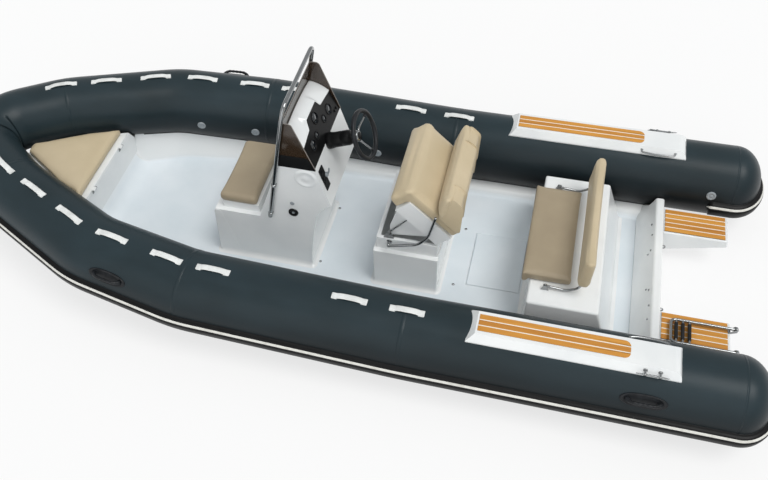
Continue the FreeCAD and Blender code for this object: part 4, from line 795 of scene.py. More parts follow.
# Each valve's x and angle in degrees, and its profile of radius and height off the skin
VALVES = ((-0.322, 165), (2.312, 182), (3.411, 182), (3.870, 182))
VALVE = (
    (0.0, 0.0065), (0.010, 0.0065), (0.012, 0.0045), (0.020, 0.0045), (0.0215, 0.007), (0.026, 0.0078),
    (0.031, 0.0066), (0.0350, 0.0030), (0.036, -0.004))
VALVE_RIB = 0.0062


def make_valves():
    """A lathe-turned flange with a recessed, ribbed cap, square to the skin."""
    form = Form()
    for x, degrees in VALVES:
        angle = math.radians(degrees)
        for run in both_sides(x):
            centre, radius, out, upward = (row[0] for row in at_run(np.array([run])))
            away = out * math.cos(angle) + upward * math.sin(angle)
            turned(form, VALVE, centre + away * radius, away, 40)
            ridge = np.cross(away, upward)
            place = centre + away * (radius + VALVE_RIB)
            bar(form, [place - ridge * 0.009, place + ridge * 0.009], 0.0022, 8)
    form.piece("valve_caps", GREY, slot="moulded_rubber", replaces=("valves",), outward=False)


make_tube()
make_seams()
make_strake()
make_straps()
make_grips()
make_valves()


# Moulded pieces: a copy of the construction's mesh, made one skin, with its edges rolled over

RINGED = ("helm_seat_base",)


def copied(node, name):
    """The node's mesh as a new object, its loose triangles joined and flat panels made whole.

    A panel that runs round an opening would lose the opening, so RINGED nodes keep their triangles."""
    mesh = NODES[node].data.copy()
    mesh.name = name
    work = bmesh.new()
    work.from_mesh(mesh)
    bmesh.ops.remove_doubles(work, verts=work.verts, dist=2e-5)
    if node not in RINGED:
        bmesh.ops.dissolve_limit(
            work, angle_limit=math.radians(1.0), verts=work.verts, edges=work.edges, delimit={"NORMAL"})
    work.to_mesh(mesh)
    work.free()
    mesh.materials.clear()
    item = bpy.data.objects.new(name, mesh)
    bpy.context.scene.collection.objects.link(item)
    return item


def mesh_points(item):
    """The mesh's points as rows of x, y and z."""
    rows = np.empty(len(item.data.vertices) * 3)
    item.data.vertices.foreach_get("co", rows)
    return rows.reshape(-1, 3)


ROLL_ANGLE = math.radians(24)


def moulded(node, finish, edge, body="boat", segments=4):
    """A moulding with edges rolled to a radius of edge metres."""
    item = copied(node, node + "_moulding")
    item.data.materials.append(finish)
    roll = item.modifiers.new("roll", "BEVEL")
    roll.width = edge
    roll.segments = segments
    roll.limit_method = "ANGLE"
    roll.angle_limit = ROLL_ANGLE
    roll.use_clamp_overlap = True
    roll.harden_normals = False
    roll.miter_outer = "MITER_ARC"
    item.data.shade_smooth()
    even = item.modifiers.new("even", "WEIGHTED_NORMAL")
    even.keep_sharp = True
    even.weight = 80
    settle(item, body, (node,))
    return item


# Each gelcoat moulding, the radius of its edges and its body
MOULDINGS = (
    ("hull", 0.010, "boat"), ("transom", 0.014, "boat"), ("swim_platforms", 0.012, "boat"),
    ("bow_locker", 0.012, "boat"), ("bow_locker_lid", 0.003, "bow_lid"), ("console", 0.014, "boat"),
    ("helm_seat_base", 0.010, "boat"), ("helm_lid", 0.006, "helm_lid"), ("rear_seat_base", 0.016, "boat"))
for moulding_node, moulding_edge, moulding_body in MOULDINGS:
    moulded(moulding_node, GELCOAT, moulding_edge, moulding_body)
hatch = moulded("floor_hatch", SOLE, 0.003, "floor_hatch")
hatch_tread = hatch.data.attributes.new("tread", "FLOAT", "POINT")
hatch_tread.data.foreach_set("value", np.ones(len(hatch.data.vertices)))

PLAIN = {
    "steel": STEEL, "moulded_rubber": RUBBER, "acrylic": ACRYLIC, "dash": BLACK, "wheel_rim": BLACK,
    "gelcoat": GELCOAT, "deck_gelcoat": SOLE, "teak": TEAK, "cushion": VINYL}


def finish_kept_nodes():
    """Every construction node that stays in view gets the finish of its slot."""
    hidden = {name for item in bpy.data.objects for name in item.get("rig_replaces", [])}
    for part in frame["record"]["subparts"]:
        node = part["node"]
        if node in hidden or part["material_slot"] not in PLAIN:
            continue
        for slot in NODES[node].material_slots:
            slot.material = PLAIN[part["material_slot"]]


# Round bars, sleeves and washers: the rails, frames, handles and hinges

STEEL_STEP = 0.03
EYE_EASE = 0.001


def rod(form, points, radius, reach=0.0, sides=18):
    """A round bar through points; its corners are arcs that start reach metres from each corner."""
    bar(form, dense(softened(points, reach, 10), STEEL_STEP), radius, sides)


def puck(form, place, axis, radius, low, high, ease=0.0015, sides=28):
    """A disc or sleeve between two heights on an axis, with eased rims."""
    rim = radius - ease
    profile = ((0, low), (rim, low), (radius, low + ease), (radius, high - ease), (rim, high), (0, high))
    turned(form, profile, place, axis, sides)


def eared(form, place, radius, hole, half):
    """An eye: a ring of square section whose axis runs across the boat."""
    rim, flat = radius - EYE_EASE, half - EYE_EASE
    profile = (
        (hole, -half), (rim, -half), (radius, -flat), (radius, flat), (rim, half), (hole, half), (hole, -half))
    turned(form, profile, place, (0, 1, 0), 24)


def both(points, side):
    """The points, mirrored to the side given as +1 for port or -1 for starboard."""
    return np.asarray(points, float) * np.array([1, side, 1])


RAIL_FOOT = np.array([2.866, 0.357, 0.592])
RAIL_TOP = np.array([2.651, 0.357, 1.668])
RAIL_RADIUS = 0.015
CLAMP_SHARES = (0.03, 0.32)
CONSOLE_SIDE = 0.338


def make_hoop():
    """A hoop of bar over the console, on two clamps a side."""
    form = Form()
    hoop = [both(RAIL_FOOT, 1), both(RAIL_TOP, 1), both(RAIL_TOP, -1), both(RAIL_FOOT, -1)]
    rod(form, hoop, RAIL_RADIUS, 0.090)
    run = RAIL_TOP - RAIL_FOOT
    for side in (1, -1):
        for share in CLAMP_SHARES:
            place = both(RAIL_FOOT + run * share, side)
            wall = place.copy()
            wall[1] = side * CONSOLE_SIDE
            puck(form, wall, (0, side, 0), 0.017, -0.002, 0.005)
            puck(form, wall, (0, side, 0), 0.0085, 0.0, 0.019)
            puck(form, place, both(run, side), RAIL_RADIUS + 0.0035, -0.011, 0.011)
            puck(form, place + np.array([0, side * 0.015, 0]), (0, side, 0), 0.006, 0.0, 0.0065)
        puck(form, both(RAIL_FOOT, side), both(run, side), RAIL_RADIUS + 0.001, -0.004, 0.006)
    form.piece("console_hoop", STEEL, slot="steel", replaces=("hoop_rail",))


HELM_ARM = ((1.958, 0.395, 0.520), (1.735, 0.395, 0.590), (1.665, 0.395, 0.690), (1.616, 0.395, 0.905))
REAR_ARM = ((0.812, 0.486, 0.492), (0.665, 0.486, 0.476), (0.590, 0.486, 0.520), (0.569, 0.486, 0.590))


def make_seat_frames():
    """The bent arms of both backs; the helm's stand on bosses, the other pair turn on pins."""
    helm, rear = Form(), Form()
    for side in (1, -1):
        path = both(HELM_ARM, side)
        rod(helm, path, 0.010, 0.045)
        wall = path[0].copy()
        wall[1] = side * 0.349
        puck(helm, wall, (0, side, 0), 0.021, 0.0, 0.006)
        puck(helm, wall, (0, side, 0), 0.012, 0.0, 0.045)
        path = both(REAR_ARM, side)
        eared(rear, path[0], 0.015, 0.0065, 0.0065)
        path[0] += unit(path[1] - path[0]) * 0.013
        rod(rear, path, 0.009, 0.030)
    helm.piece("helm_back_arms", STEEL, slot="steel", replaces=("helm_back_frame",))
    rear.piece("rear_back_arms", STEEL, "rear_back", "steel", ("rear_back_frame",))


STAY_FOOT = np.array([1.965, 0.318, 0.592])
STAY_ANGLE = math.radians(130)
STAY_LENGTH = 0.255


def make_stay():
    """A thin strut with a sleeve over its lower half and an eye at each end."""
    form = Form()
    way = np.array([math.cos(STAY_ANGLE), 0, math.sin(STAY_ANGLE)])
    ends = STAY_FOOT, STAY_FOOT + way * STAY_LENGTH
    rod(form, [ends[0] + way * 0.008, ends[1] - way * 0.008], 0.0045)
    puck(form, ends[0], way, 0.0068, 0.018, 0.135)
    for end in ends:
        eared(form, end, 0.010, 0.0043, 0.005)
    form.piece("lid_strut", STEEL, "lid_stay", "steel", ("lid_stay",))


LADDER_Y = (0.452, 0.645)
LADDER_Z = 0.326
LADDER_EYE = -0.500
LADDER_FREE = -0.070
LADDER_TREADS = (-0.105, -0.149, -0.193)
TREAD_HALF = 0.066


def make_ladder():
    """Two rails joined by a bow at the free end, crossbars, and ribbed treads clipped over them."""
    rails, treads = Form(), Form()
    inner, outer = LADDER_Y
    start = LADDER_EYE + 0.013
    corners = ((start, inner), (LADDER_FREE, inner), (LADDER_FREE, outer), (start, outer))
    rod(rails, [(x, y, LADDER_Z) for x, y in corners], 0.0105, (0, 0.035, 0.035, 0))
    for y in LADDER_Y:
        eared(rails, (LADDER_EYE, y, LADDER_Z), 0.014, 0.0055, 0.010)
    for x in LADDER_TREADS:
        rod(rails, [(x, inner, LADDER_Z), (x, outer, LADDER_Z)], 0.0085)
        u = np.linspace(-1, 1, 33)
        turn = np.linspace(0, TAU, 20, endpoint=False)
        square = np.maximum(np.abs(np.cos(turn)), np.abs(np.sin(turn))) ** -0.7
        ridge = 1 + 0.05 * np.cos(u * 44)[:, None]
        girth = square[None, :] * ridge
        middle = (inner + outer) / 2 + TREAD_HALF * u[:, None] + 0 * girth
        grid = np.stack([
            x + 0.0118 * np.cos(turn)[None, :] * girth, middle,
            LADDER_Z + 0.0115 * np.sin(turn)[None, :] * girth], axis=-1)
        ends = grid[[0, -1]].mean(axis=1, keepdims=True)
        grid = np.concatenate([0 * grid[:1] + ends[:1], grid, 0 * grid[:1] + ends[1:]])
        treads.sheet(grid, loop_columns=True)
    rails.piece("ladder_rails", STEEL, "boarding_ladder", "steel", ("boarding_ladder",))
    treads.piece("ladder_treads", RUBBER, "boarding_ladder", "moulded_rubber", ("boarding_ladder",))


PAD_FITTING_Z = 0.614
PAD_SIDE = 1.105
CLEAT_X = 0.090
CLEAT_Y = 1.1415
CLEAT_HALF = 0.046
HANDLE_X = 0.120
HANDLE_Y = 0.8975


def make_pad_fittings():
    """A thin horned cleat on each pad's outer side and a bowed handle on its inner side."""
    cleats, handles = Form(), Form()
    u = np.linspace(-1, 1, 25)
    turn = np.linspace(0, math.pi, 25)
    bow = np.sin(turn) ** 0.55
    horns = np.stack([CLEAT_X + 0.100 * u, CLEAT_Y + 0.003 * u ** 2, PAD_FITTING_Z + 0.004 * u ** 2], axis=1)
    grip = np.stack([
        HANDLE_X + 0.125 * -np.cos(turn), HANDLE_Y - 0.034 * bow, PAD_FITTING_Z + 0 * bow], axis=1)
    for side in (1, -1):
        bar(cleats, both(horns, side), 0.0068 - 0.0038 * u ** 2, 14, rounding=1.0)
        for x in (CLEAT_X - CLEAT_HALF, CLEAT_X + CLEAT_HALF):
            foot, head = (both((x, y, PAD_FITTING_Z), side) for y in (PAD_SIDE, CLEAT_Y))
            rod(cleats, [foot, head], 0.0075)
            puck(cleats, foot, (0, side, 0.15), 0.015, 0.003, 0.009)
            puck(cleats, head, (0, side, 0), 0.0105, -0.004, 0.0095, 0.003)
        bar(handles, both(grip, side), 0.0070, 16)
        for end in (0, -1):
            puck(handles, both(grip[end], side), (0, -side, 0.12), 0.014, -0.004, 0.005)
    cleats.piece("horn_cleats", STEEL, slot="steel", replaces=("cleats",))
    handles.piece("bowed_handles", STEEL, slot="steel", replaces=("pad_handles",))


def make_eyes():
    """A washer and a bow of bar for each towing eye under the transom's edge."""
    form = Form()
    for side in (1, -1):
        middle = np.array([0.0, 0.300 * side, 0.210])
        puck(form, middle, (-1, 0, 0), 0.018, -0.001, 0.005)
        bow = np.array([(-0.003, 0, -0.014), (-0.034, 0, -0.016), (-0.034, 0, 0.016), (-0.003, 0, 0.014)])
        rod(form, middle + bow, 0.005, (0, 0.0155, 0.0155, 0))
    form.piece("towing_eyes", STEEL, slot="steel", replaces=("transom_eyes",))


make_hoop()
make_seat_frames()
make_stay()
make_ladder()
make_pad_fittings()
make_eyes()

for hinge_node in ("helm_hinges", "bow_hinges", "ladder_hinges", "rear_pivots", "stay_bracket", "hatch_pins"):
    moulded(hinge_node, STEEL, 0.0012, "boat", segments=2)


# Steering: a tilted frame whose third axis is the shaft

WHEEL_CENTRE = np.array([2.207, 0.0, 1.211])
WHEEL_TILT = math.radians(22)
WHEEL_AXES = np.array([
    [math.sin(WHEEL_TILT), 0, math.cos(WHEEL_TILT)], [0, 1, 0],
    [-math.cos(WHEEL_TILT), 0, math.sin(WHEEL_TILT)]])
RIM_CENTRE = 0.169
RIM_HALF = 0.0180
SPOKES = (180, 300, 60)
SPOKE_START = 0.026
SPOKE_DROP = 0.055
# Profiles of radius and height along the shaft
HUB = (
    (0, -0.0700), (0.036, -0.0700), (0.040, -0.067), (0.040, -0.061), (0.0365, -0.059), (0.0365, -0.055),
    (0.040, -0.053), (0.040, -0.047), (0.0370, -0.0435), (0.030, -0.0415), (0, -0.0410))
CAP = ((0, -0.0420), (0.026, -0.0420), (0.027, -0.0400), (0.024, -0.0370), (0.012, -0.0355), (0, -0.0350))
BOSS = (
    (0, -0.310), (0.0600, -0.310), (0.0600, -0.262), (0.0575, -0.256), (0.0555, -0.236), (0.0555, -0.180),
    (0.0535, -0.176), (0.0535, -0.172), (0.0555, -0.168), (0.0555, -0.126), (0.052, -0.114),
    (0.044, -0.107), (0.024, -0.106), (0.0215, -0.100), (0.0215, -0.0725), (0.018, -0.0708), (0, -0.0706))


def on_wheel(points):
    """Points of the wheel's own frame, turned by its tilt and moved to its centre."""
    return WHEEL_CENTRE + np.asarray(points, float) @ WHEEL_AXES


def make_wheel():
    """A rim that swells into four soft grips, three tapered spokes and a stepped hub."""
    rim, metal, cap, boss = Form(), Form(), Form(), Form()
    turn = np.linspace(0, TAU, 120, endpoint=False)
    round_rim = np.linspace(0, TAU, 20, endpoint=False)
    swell = RIM_HALF * (0.94 + 0.06 * np.cos(turn * 6))[:, None]
    across = RIM_CENTRE + swell * np.cos(round_rim)
    grid = np.stack([
        across * np.cos(turn)[:, None], across * np.sin(turn)[:, None],
        swell * np.sin(round_rim)[None, :]], axis=-1)
    rim.sheet(on_wheel(grid), loop_rows=True, loop_columns=True)
    share = np.linspace(0, 1, 22)
    reach = SPOKE_START + (RIM_CENTRE - SPOKE_START) * share
    rise = -SPOKE_DROP + SPOKE_DROP * (3 * share ** 2 - 2 * share ** 3)
    for degrees in SPOKES:
        out = np.array([math.cos(math.radians(degrees)), math.sin(math.radians(degrees)), 0])
        line = out * reach[:, None] + np.array([0, 0, 1]) * rise[:, None]
        bar(metal, on_wheel(line), 0.0078 - 0.002 * share, 14)
        bar(rim, on_wheel(line[-6:]), 0.0094, 16, rounding=0.3)
    for form, profile, sides in ((metal, HUB, 40), (cap, CAP, 36), (boss, BOSS, 48)):
        turned(form, profile, WHEEL_CENTRE, WHEEL_AXES[2], sides)
    rim.piece("wheel_grip", RUBBER, "steering_wheel", "wheel_rim", ("steering_wheel",), outward=False)
    metal.piece("wheel_spokes", STEEL, "steering_wheel", "steel", ("steering_wheel",))
    cap.piece("wheel_cap", BLACK, "steering_wheel", "dash", ("steering_wheel",))
    boss.piece("steering_boss", BLACK, slot="dash", replaces=("steering_column",))


make_wheel()


# Teak: planks with pale caulk between them, laid lengthwise

CAULK_GAP = 0.007


def strip(form, x, y, z, thick, edge, round_aft=0.0, round_out=0.0, **values):
    """A plank from x to x and y to y with eased top edges; its aft corners may be rounded in plan.

    The outline starts at the front inner corner and runs anticlockwise, with arcs at the aft corners."""
    arc = np.linspace(0, math.pi / 2, 9)
    outline = [(x[1], y[0]), (x[1], y[1])]
    if round_out:
        outline += [(x[0] + round_out * (1 - math.sin(t)), y[1] - round_out * (1 - math.cos(t))) for t in arc]
    else:
        outline.append((x[0], y[1]))
    if round_aft:
        outline += [(x[0] + round_aft * (1 - math.cos(t)), y[0] + round_aft * (1 - math.sin(t))) for t in arc]
    else:
        outline.append((x[0], y[0]))
    line = dense(np.array(outline + outline[:1]), 0.05)[:-1]
    plate(form, line, thick, edge, (0, 0, z), **values)


def laid(planks, caulk, x, low, high, count, z, thick, side, round_end):
    """Planks side by side between low and high on one side of the boat, over a bed of caulk."""
    pitch = (high - low + CAULK_GAP) / count
    span = sorted((side * low, side * high))
    strip(caulk, x, span, z, thick - 0.0005, 0.0008, round_end, round_end)
    for row in range(count):
        inner = low + row * pitch
        outer = inner + pitch - CAULK_GAP
        y = sorted((side * inner, side * outer))
        first, last = row == 0, row == count - 1
        low_end, high_end = (first, last) if side > 0 else (last, first)
        strip(planks, x, y, z, thick, 0.0010, round_end * low_end, round_end * high_end,
              plank=((row * 7 + 3) % 5) / 5.0)


def make_teak():
    """Three planks along each step pad and five along each swim platform."""
    planks, caulk = Form(), Form()
    for side in (1, -1):
        laid(planks, caulk, (0.235, 1.203), 0.937, 1.069, 3, 0.646, 0.004, side, 0.040)
        laid(planks, caulk, (-0.450, -0.012), 0.389, 0.612, 5, 0.290, 0.008, side, 0.0)
    planks.piece("teak_planks", TEAK, slot="teak", replaces=("pad_teak", "platform_teak"))
    caulk.piece("teak_caulking", CAULK, slot="teak", replaces=("pad_teak", "platform_teak"))


make_teak()
moulded("step_pad_port", GELCOAT, 0.020)
moulded("step_pad_starboard", GELCOAT, 0.020)


# Sole: a grid across the boat that curves up into the tube, the locker and the transom

SOLE_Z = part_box("floor_hatch")[1].z
SOLE_AFT = 0.060
SOLE_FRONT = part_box("bow_locker")[0].x + 0.002
LIP_ANGLE = math.radians(222)
SIDE_SHELF = 0.070
SIDE_COVE = 0.050
BOW_COVE = 0.140
HATCH_GAP = 0.003
HATCH_SINK = 0.0148
MIDDLE_HALF = 0.30
CUT_HALF = 2e-4
TREAD_FADE = 0.02


def make_sole():
    """Height over (x, y): flat, then a quarter round cove of its own radius at each wall, then a shelf."""
    lip = on_tube(np.linspace(run_at(-0.1), run_at(5.0), 240), LIP_ANGLE)
    low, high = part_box("floor_hatch")
    cuts = [low.x - HATCH_GAP, high.x + HATCH_GAP]
    x = np.unique(np.concatenate(
        [np.linspace(SOLE_AFT, SOLE_FRONT, 200)] + [[c - CUT_HALF, c + CUT_HALF] for c in cuts]))
    hatch_half = high.y + HATCH_GAP
    inner = np.unique(np.concatenate([
        np.linspace(0, MIDDLE_HALF, 12), [hatch_half - CUT_HALF, hatch_half + CUT_HALF]]))
    share = np.linspace(0, 1, 44)[1:] ** 0.8
    lip_y = np.interp(x, lip[:, 0], lip[:, 1])
    lip_z = np.interp(x, lip[:, 0], lip[:, 2])
    outer = MIDDLE_HALF + (lip_y[:, None] - MIDDLE_HALF) * share[None, :]
    half = np.concatenate([np.broadcast_to(inner, (len(x), len(inner))), outer], axis=1)
    wall = lip_y - SIDE_SHELF
    side = wall[:, None] - half
    front = SOLE_FRONT - x[:, None] + 0 * half
    side_in = np.clip(SIDE_COVE - side, 0, SIDE_COVE)
    side_rise = SIDE_COVE - np.sqrt(np.clip(SIDE_COVE ** 2 - side_in ** 2, 0, None))
    front_in = np.clip(BOW_COVE - front, 0, BOW_COVE - 1e-3)
    front_rise = BOW_COVE - np.sqrt(BOW_COVE ** 2 - front_in ** 2)
    climb = np.clip(-side / SIDE_SHELF, 0, 1)
    shelf = SIDE_COVE + climb * (lip_z[:, None] - SOLE_Z - SIDE_COVE)
    height = np.maximum(np.where(side > 0, side_rise, shelf), front_rise)
    bow_fade = np.clip((BOW_COVE * 0.98 - front_rise) / TREAD_FADE, 0, 1)
    tread = np.clip(side / TREAD_FADE, 0, 1) * bow_fade
    sunk = (x[:, None] > cuts[0]) & (x[:, None] < cuts[1]) & (half < hatch_half)
    z = SOLE_Z + height - np.where(sunk, HATCH_SINK, 0)
    port = np.stack([x[:, None] + 0 * half, half, z], axis=-1)
    grid = np.concatenate([(port * np.array([1, -1, 1]))[:, :0:-1], port], axis=1)
    masks = np.concatenate([tread[:, :0:-1], tread], axis=1)
    Form().sheet(grid, tread=masks).piece(
        "cockpit_sole", SOLE, slot="deck_gelcoat", replaces=("deck",), outward=False)


make_sole()


# Windscreen: three smoked sheets with round corners, and a dark seal along the wings' feet

SCREEN_Y = 0.335
SCREEN_THICK = 0.006
WING = ((2.478, 1.125), (2.752, 1.125), (2.684, 1.522), (2.619, 1.522))
SCREEN_CORNER = 0.022
SCREEN_EASE = 0.0018
FRONT_FOOT = np.array([2.749, 0, 1.125])
FRONT_TOP = np.array([2.681, 0, 1.522])
FRONT_HEIGHT = 0.4028
TRIM_RADIUS = 0.0034
SEAL_TOP = 1.232
SEAL_THICK = 0.0035


def rounded(corners, reach, steps=5):
    """A closed outline whose corners are arcs; each corner has its own reach."""
    corners = np.asarray(corners, float)
    reach = np.broadcast_to(reach, len(corners))
    closed = np.concatenate([corners[-1:], corners, corners[:1]])
    flat = np.concatenate([closed, np.zeros((len(closed), 1))], axis=1)
    return softened(flat, np.concatenate([reach[-1:], reach, reach[:1]]), steps)[1:-1, :2]


def upright(form, outline, y, thick, edge, crown=0.0):
    """A plate whose outline of x and z lies in the upright plane along the boat, from y to y + thick."""
    plate(form, outline[::-1] * np.array([-1, 1]), thick, edge, (0, y, 0), (-1, 0, 0), (0, 0, 1), crown)


def make_windscreen():
    """Wings stand in the XZ plane; the front leans aft between them."""
    sheets, seals, trims = Form(), Form(), Form()
    aft, fore, fore_top, aft_top = WING
    share = (SEAL_TOP - aft[1]) / (aft_top[1] - aft[1])
    seal = rounded((
        (aft[0] - 0.004, aft[1] - 0.004), (fore[0] + 0.004, fore[1] - 0.004),
        (fore[0] + (fore_top[0] - fore[0]) * share, SEAL_TOP),
        (aft[0] + (aft_top[0] - aft[0]) * share + 0.010, SEAL_TOP)), (0.004, 0.004, 0.012, 0.012))
    wing = rounded(WING, (0.006, 0.006, SCREEN_CORNER, SCREEN_CORNER))
    for side in (1, -1):
        y = side * SCREEN_Y - (SCREEN_THICK if side > 0 else 0)
        upright(sheets, wing, y, SCREEN_THICK, SCREEN_EASE)
        y = side * (SCREEN_Y + 0.0005) - (0.0 if side > 0 else SEAL_THICK)
        upright(seals, seal, y, SEAL_THICK, 0.0012)
        edge = [(x, side * (SCREEN_Y - SCREEN_THICK / 2), z) for x, z in (aft, aft_top, fore_top, fore)]
        rod(trims, edge, TRIM_RADIUS, (0, SCREEN_CORNER, SCREEN_CORNER, 0), 10)
    half = SCREEN_Y - SCREEN_THICK - 0.001
    line = rounded(((-half, 0), (half, 0), (half, FRONT_HEIGHT), (-half, FRONT_HEIGHT)), 0.004)
    plate(sheets, line, SCREEN_THICK, SCREEN_EASE, FRONT_FOOT - np.array([0.003, 0, 0]), (0, 1, 0),
          FRONT_TOP - FRONT_FOOT)
    rod(trims, [(fore_top[0], y, fore_top[1]) for y in (-half, half)], TRIM_RADIUS, sides=10)
    for y in (-0.24, 0.0, 0.24):
        puck(seals, (2.7475, y, 1.150), (1, 0, 0.17), 0.009, -0.001, 0.006)
    sheets.piece("windscreen_sheets", ACRYLIC, slot="acrylic", replaces=("windscreen",))
    trims.piece("windscreen_edges", SCREEN_EDGE, slot="acrylic", replaces=("windscreen",))
    seals.piece("windscreen_seals", BLACK, slot="dash", replaces=("windscreen",))


make_windscreen()


# Cheeks and front wall of the helm lid, which drop into the box when it closes

CHEEK_Y = 0.297
CHEEK_THICK = 0.006
WALL_START = 0.012
CHEEK = ((1.640, 0.590), (1.960, 0.545), (1.966, 0.640), (1.896, 0.855))


def make_cheeks():
    """Two upright sheets, and a wall between them along their fore edge, from side to side."""
    form = Form()
    line = rounded(CHEEK, (0.006, 0.020, 0.030, 0.010))
    for side in (1, -1):
        upright(form, line, side * CHEEK_Y - CHEEK_THICK / 2, CHEEK_THICK, 0.002)
    free, corner = (np.array([x, 0, z]) for x, z in (CHEEK[3], CHEEK[2]))
    run = np.linalg.norm(corner - free)
    wall = np.array([(WALL_START, -CHEEK_Y), (run, -CHEEK_Y), (run, CHEEK_Y), (WALL_START, CHEEK_Y)])
    plate(form, wall, CHEEK_THICK, 0.002, free - (0.016, 0, 0), (corner - free) / run, (0, 1, 0))
    form.piece("lid_cheeks", GELCOAT, "helm_lid", "gelcoat")


make_cheeks()


# Instruments on the dark plate and fittings on the console

DASH_FOOT = np.array([2.484, 0.0, 1.125])
DASH_HEAD = np.array([2.556, 0.0, 1.283])
DASH_UP = unit(DASH_HEAD - DASH_FOOT)
DASH_OUT = np.array([-DASH_UP[2], 0, DASH_UP[0]])
LIP = np.array([2.386, 0.0, 0.784])
LOWER_UP = unit(DASH_FOOT - LIP)
LOWER_OUT = np.array([-LOWER_UP[2], 0, LOWER_UP[0]])


def on_dash(y, height, proud=0.0):
    """A place on the dash, height metres up its slope from its foot."""
    return DASH_FOOT + DASH_UP * height + DASH_OUT * proud + np.array([0, y, 0])


# Each gauge's place across and up the plate, and its radius
GAUGES = (
    (0.0, 0.195, 0.045), (-0.090, 0.110, 0.030), (0.185, 0.105, 0.042), (-0.200, 0.105, 0.042),
    (0.090, 0.110, 0.030))
KNOBS = ((-0.29, 0.040), (-0.255, 0.040))
TICK_LENGTH = 0.005
TICK_RADIUS = 0.0005


def gauge(bezels, faces, y, height, radius):
    """A stepped bezel with a shallow bowl, a flat face inside it, and nine ticks 30 degrees apart."""
    place = on_dash(y, height)
    outer, bowl = radius + 0.002, radius - 0.007
    turned(bezels, (
        (outer, -0.002), (outer, 0.0025), (radius, 0.0045), (radius - 0.004, 0.0045), (bowl, 0.0018),
        (bowl, -0.002)), place, DASH_OUT, 40)
    turned(faces, ((0, 0.0016), (radius - 0.0068, 0.0016), (radius - 0.0066, -0.001)), place, DASH_OUT, 40)
    for step in range(-4, 5):
        turn = math.radians(step * 30)
        way = np.array([0, math.sin(turn), 0]) + DASH_UP * math.cos(turn)
        start = place + DASH_OUT * 0.0018 + way * (radius - 0.014)
        bar(bezels, [start, start + way * TICK_LENGTH], TICK_RADIUS, 6)


def make_instruments():
    """Five gauges and two knobs, each turned about the normal of the plate."""
    bezels, faces = Form(), Form()
    for y, height, radius in GAUGES:
        gauge(bezels, faces, y, height, radius)
    for y, height in KNOBS:
        puck(bezels, on_dash(y, height), DASH_OUT, 0.011, -0.001, 0.008, 0.002)
    bezels.piece("gauge_bezels", BLACK, slot="dash")
    faces.piece("gauge_faces", DIAL, slot="dash")


# Switch panel on the lower aft face, and the round fittings on the console's port side
PANEL_UP = 0.215
PANEL_Y = 0.262
PORT_RING = (2.684, CONSOLE_SIDE, 0.656)
PORT_BUTTON = (2.684, CONSOLE_SIDE, 0.752)
MOULDED_RING = (2.556, CONSOLE_SIDE, 1.030)


def make_console_fittings():
    """Switch panel and lever on the lower aft face; round fittings and a moulded ring on the port side."""
    panel, metal, mould = Form(), Form(), Form()
    place = LIP + LOWER_UP * PANEL_UP + np.array([0, PANEL_Y, 0])
    plate(panel, oblong(0.074, 0.190, 0.006), 0.007, 0.002, place - LOWER_OUT * 0.001, (0, -1, 0), LOWER_UP)
    for row in range(3):
        rocker = place + LOWER_UP * (0.052 - 0.040 * row) + LOWER_OUT * 0.0055 + np.array([0, 0.014, 0])
        plate(panel, oblong(0.030, 0.022, 0.003), 0.004, 0.0012, rocker, (0, -1, 0), LOWER_UP)
    pivot = place + np.array([0, -0.030, 0]) + LOWER_UP * 0.005
    puck(metal, pivot, LOWER_OUT, 0.018, 0.004, 0.022, 0.004)
    lever = ((0.016, 0.0), (0.040, 0.022), (0.050, 0.055))
    rod(metal, [pivot + LOWER_OUT * out + LOWER_UP * up for out, up in lever], 0.0065, (0, 0.02, 0))
    side = np.array([0, 1, 0])
    puck(metal, PORT_BUTTON, side, 0.017, -0.001, 0.007, 0.003)
    turned(panel, (
        (0.0, 0.004), (0.020, 0.005), (0.026, 0.012), (0.031, 0.013), (0.036, 0.009), (0.038, -0.001)),
        PORT_RING, side, 36)
    puck(metal, PORT_RING, side, 0.0105, 0.003, 0.009, 0.002)
    turned(mould, (
        (0.0, 0.0045), (0.016, 0.0042), (0.024, 0.0020), (0.034, 0.0006), (0.050, 0.0008), (0.058, 0.0040),
        (0.066, 0.0062), (0.074, 0.0052), (0.082, 0.0018), (0.088, -0.001)), MOULDED_RING, side, 56)
    panel.piece("switch_panel", BLACK, slot="dash")
    metal.piece("console_fittings", GREY, slot="moulded_rubber")
    mould.piece("moulded_ring", GELCOAT, slot="gelcoat")


make_instruments()
make_console_fittings()


# White top of the console, from the dash's upper edge to the windscreen

POD_HALF = 0.3265
# Height of the plate's upper edge over the distance from the middle: a hood, then the shoulders
POD_EDGE_Y = (0, 0.104, 0.136, POD_HALF)
POD_EDGE_Z = (1.363, 1.3625, 1.3055, 1.2840)
POD_TOP = 1.398
POD_FALL = 0.046
POD_FRONT = 2.7415
POD_AFT = 2.498
POD_FLOOR = 1.127
FRONT_LEAN = 0.1713
# The lip over the dark plate: how far forward of the plate and how far over its edge each row runs
POD_LIP = ((0.0085, -0.004), (-0.0015, -0.001), (-0.0020, 0.004), (0.0015, 0.0075))


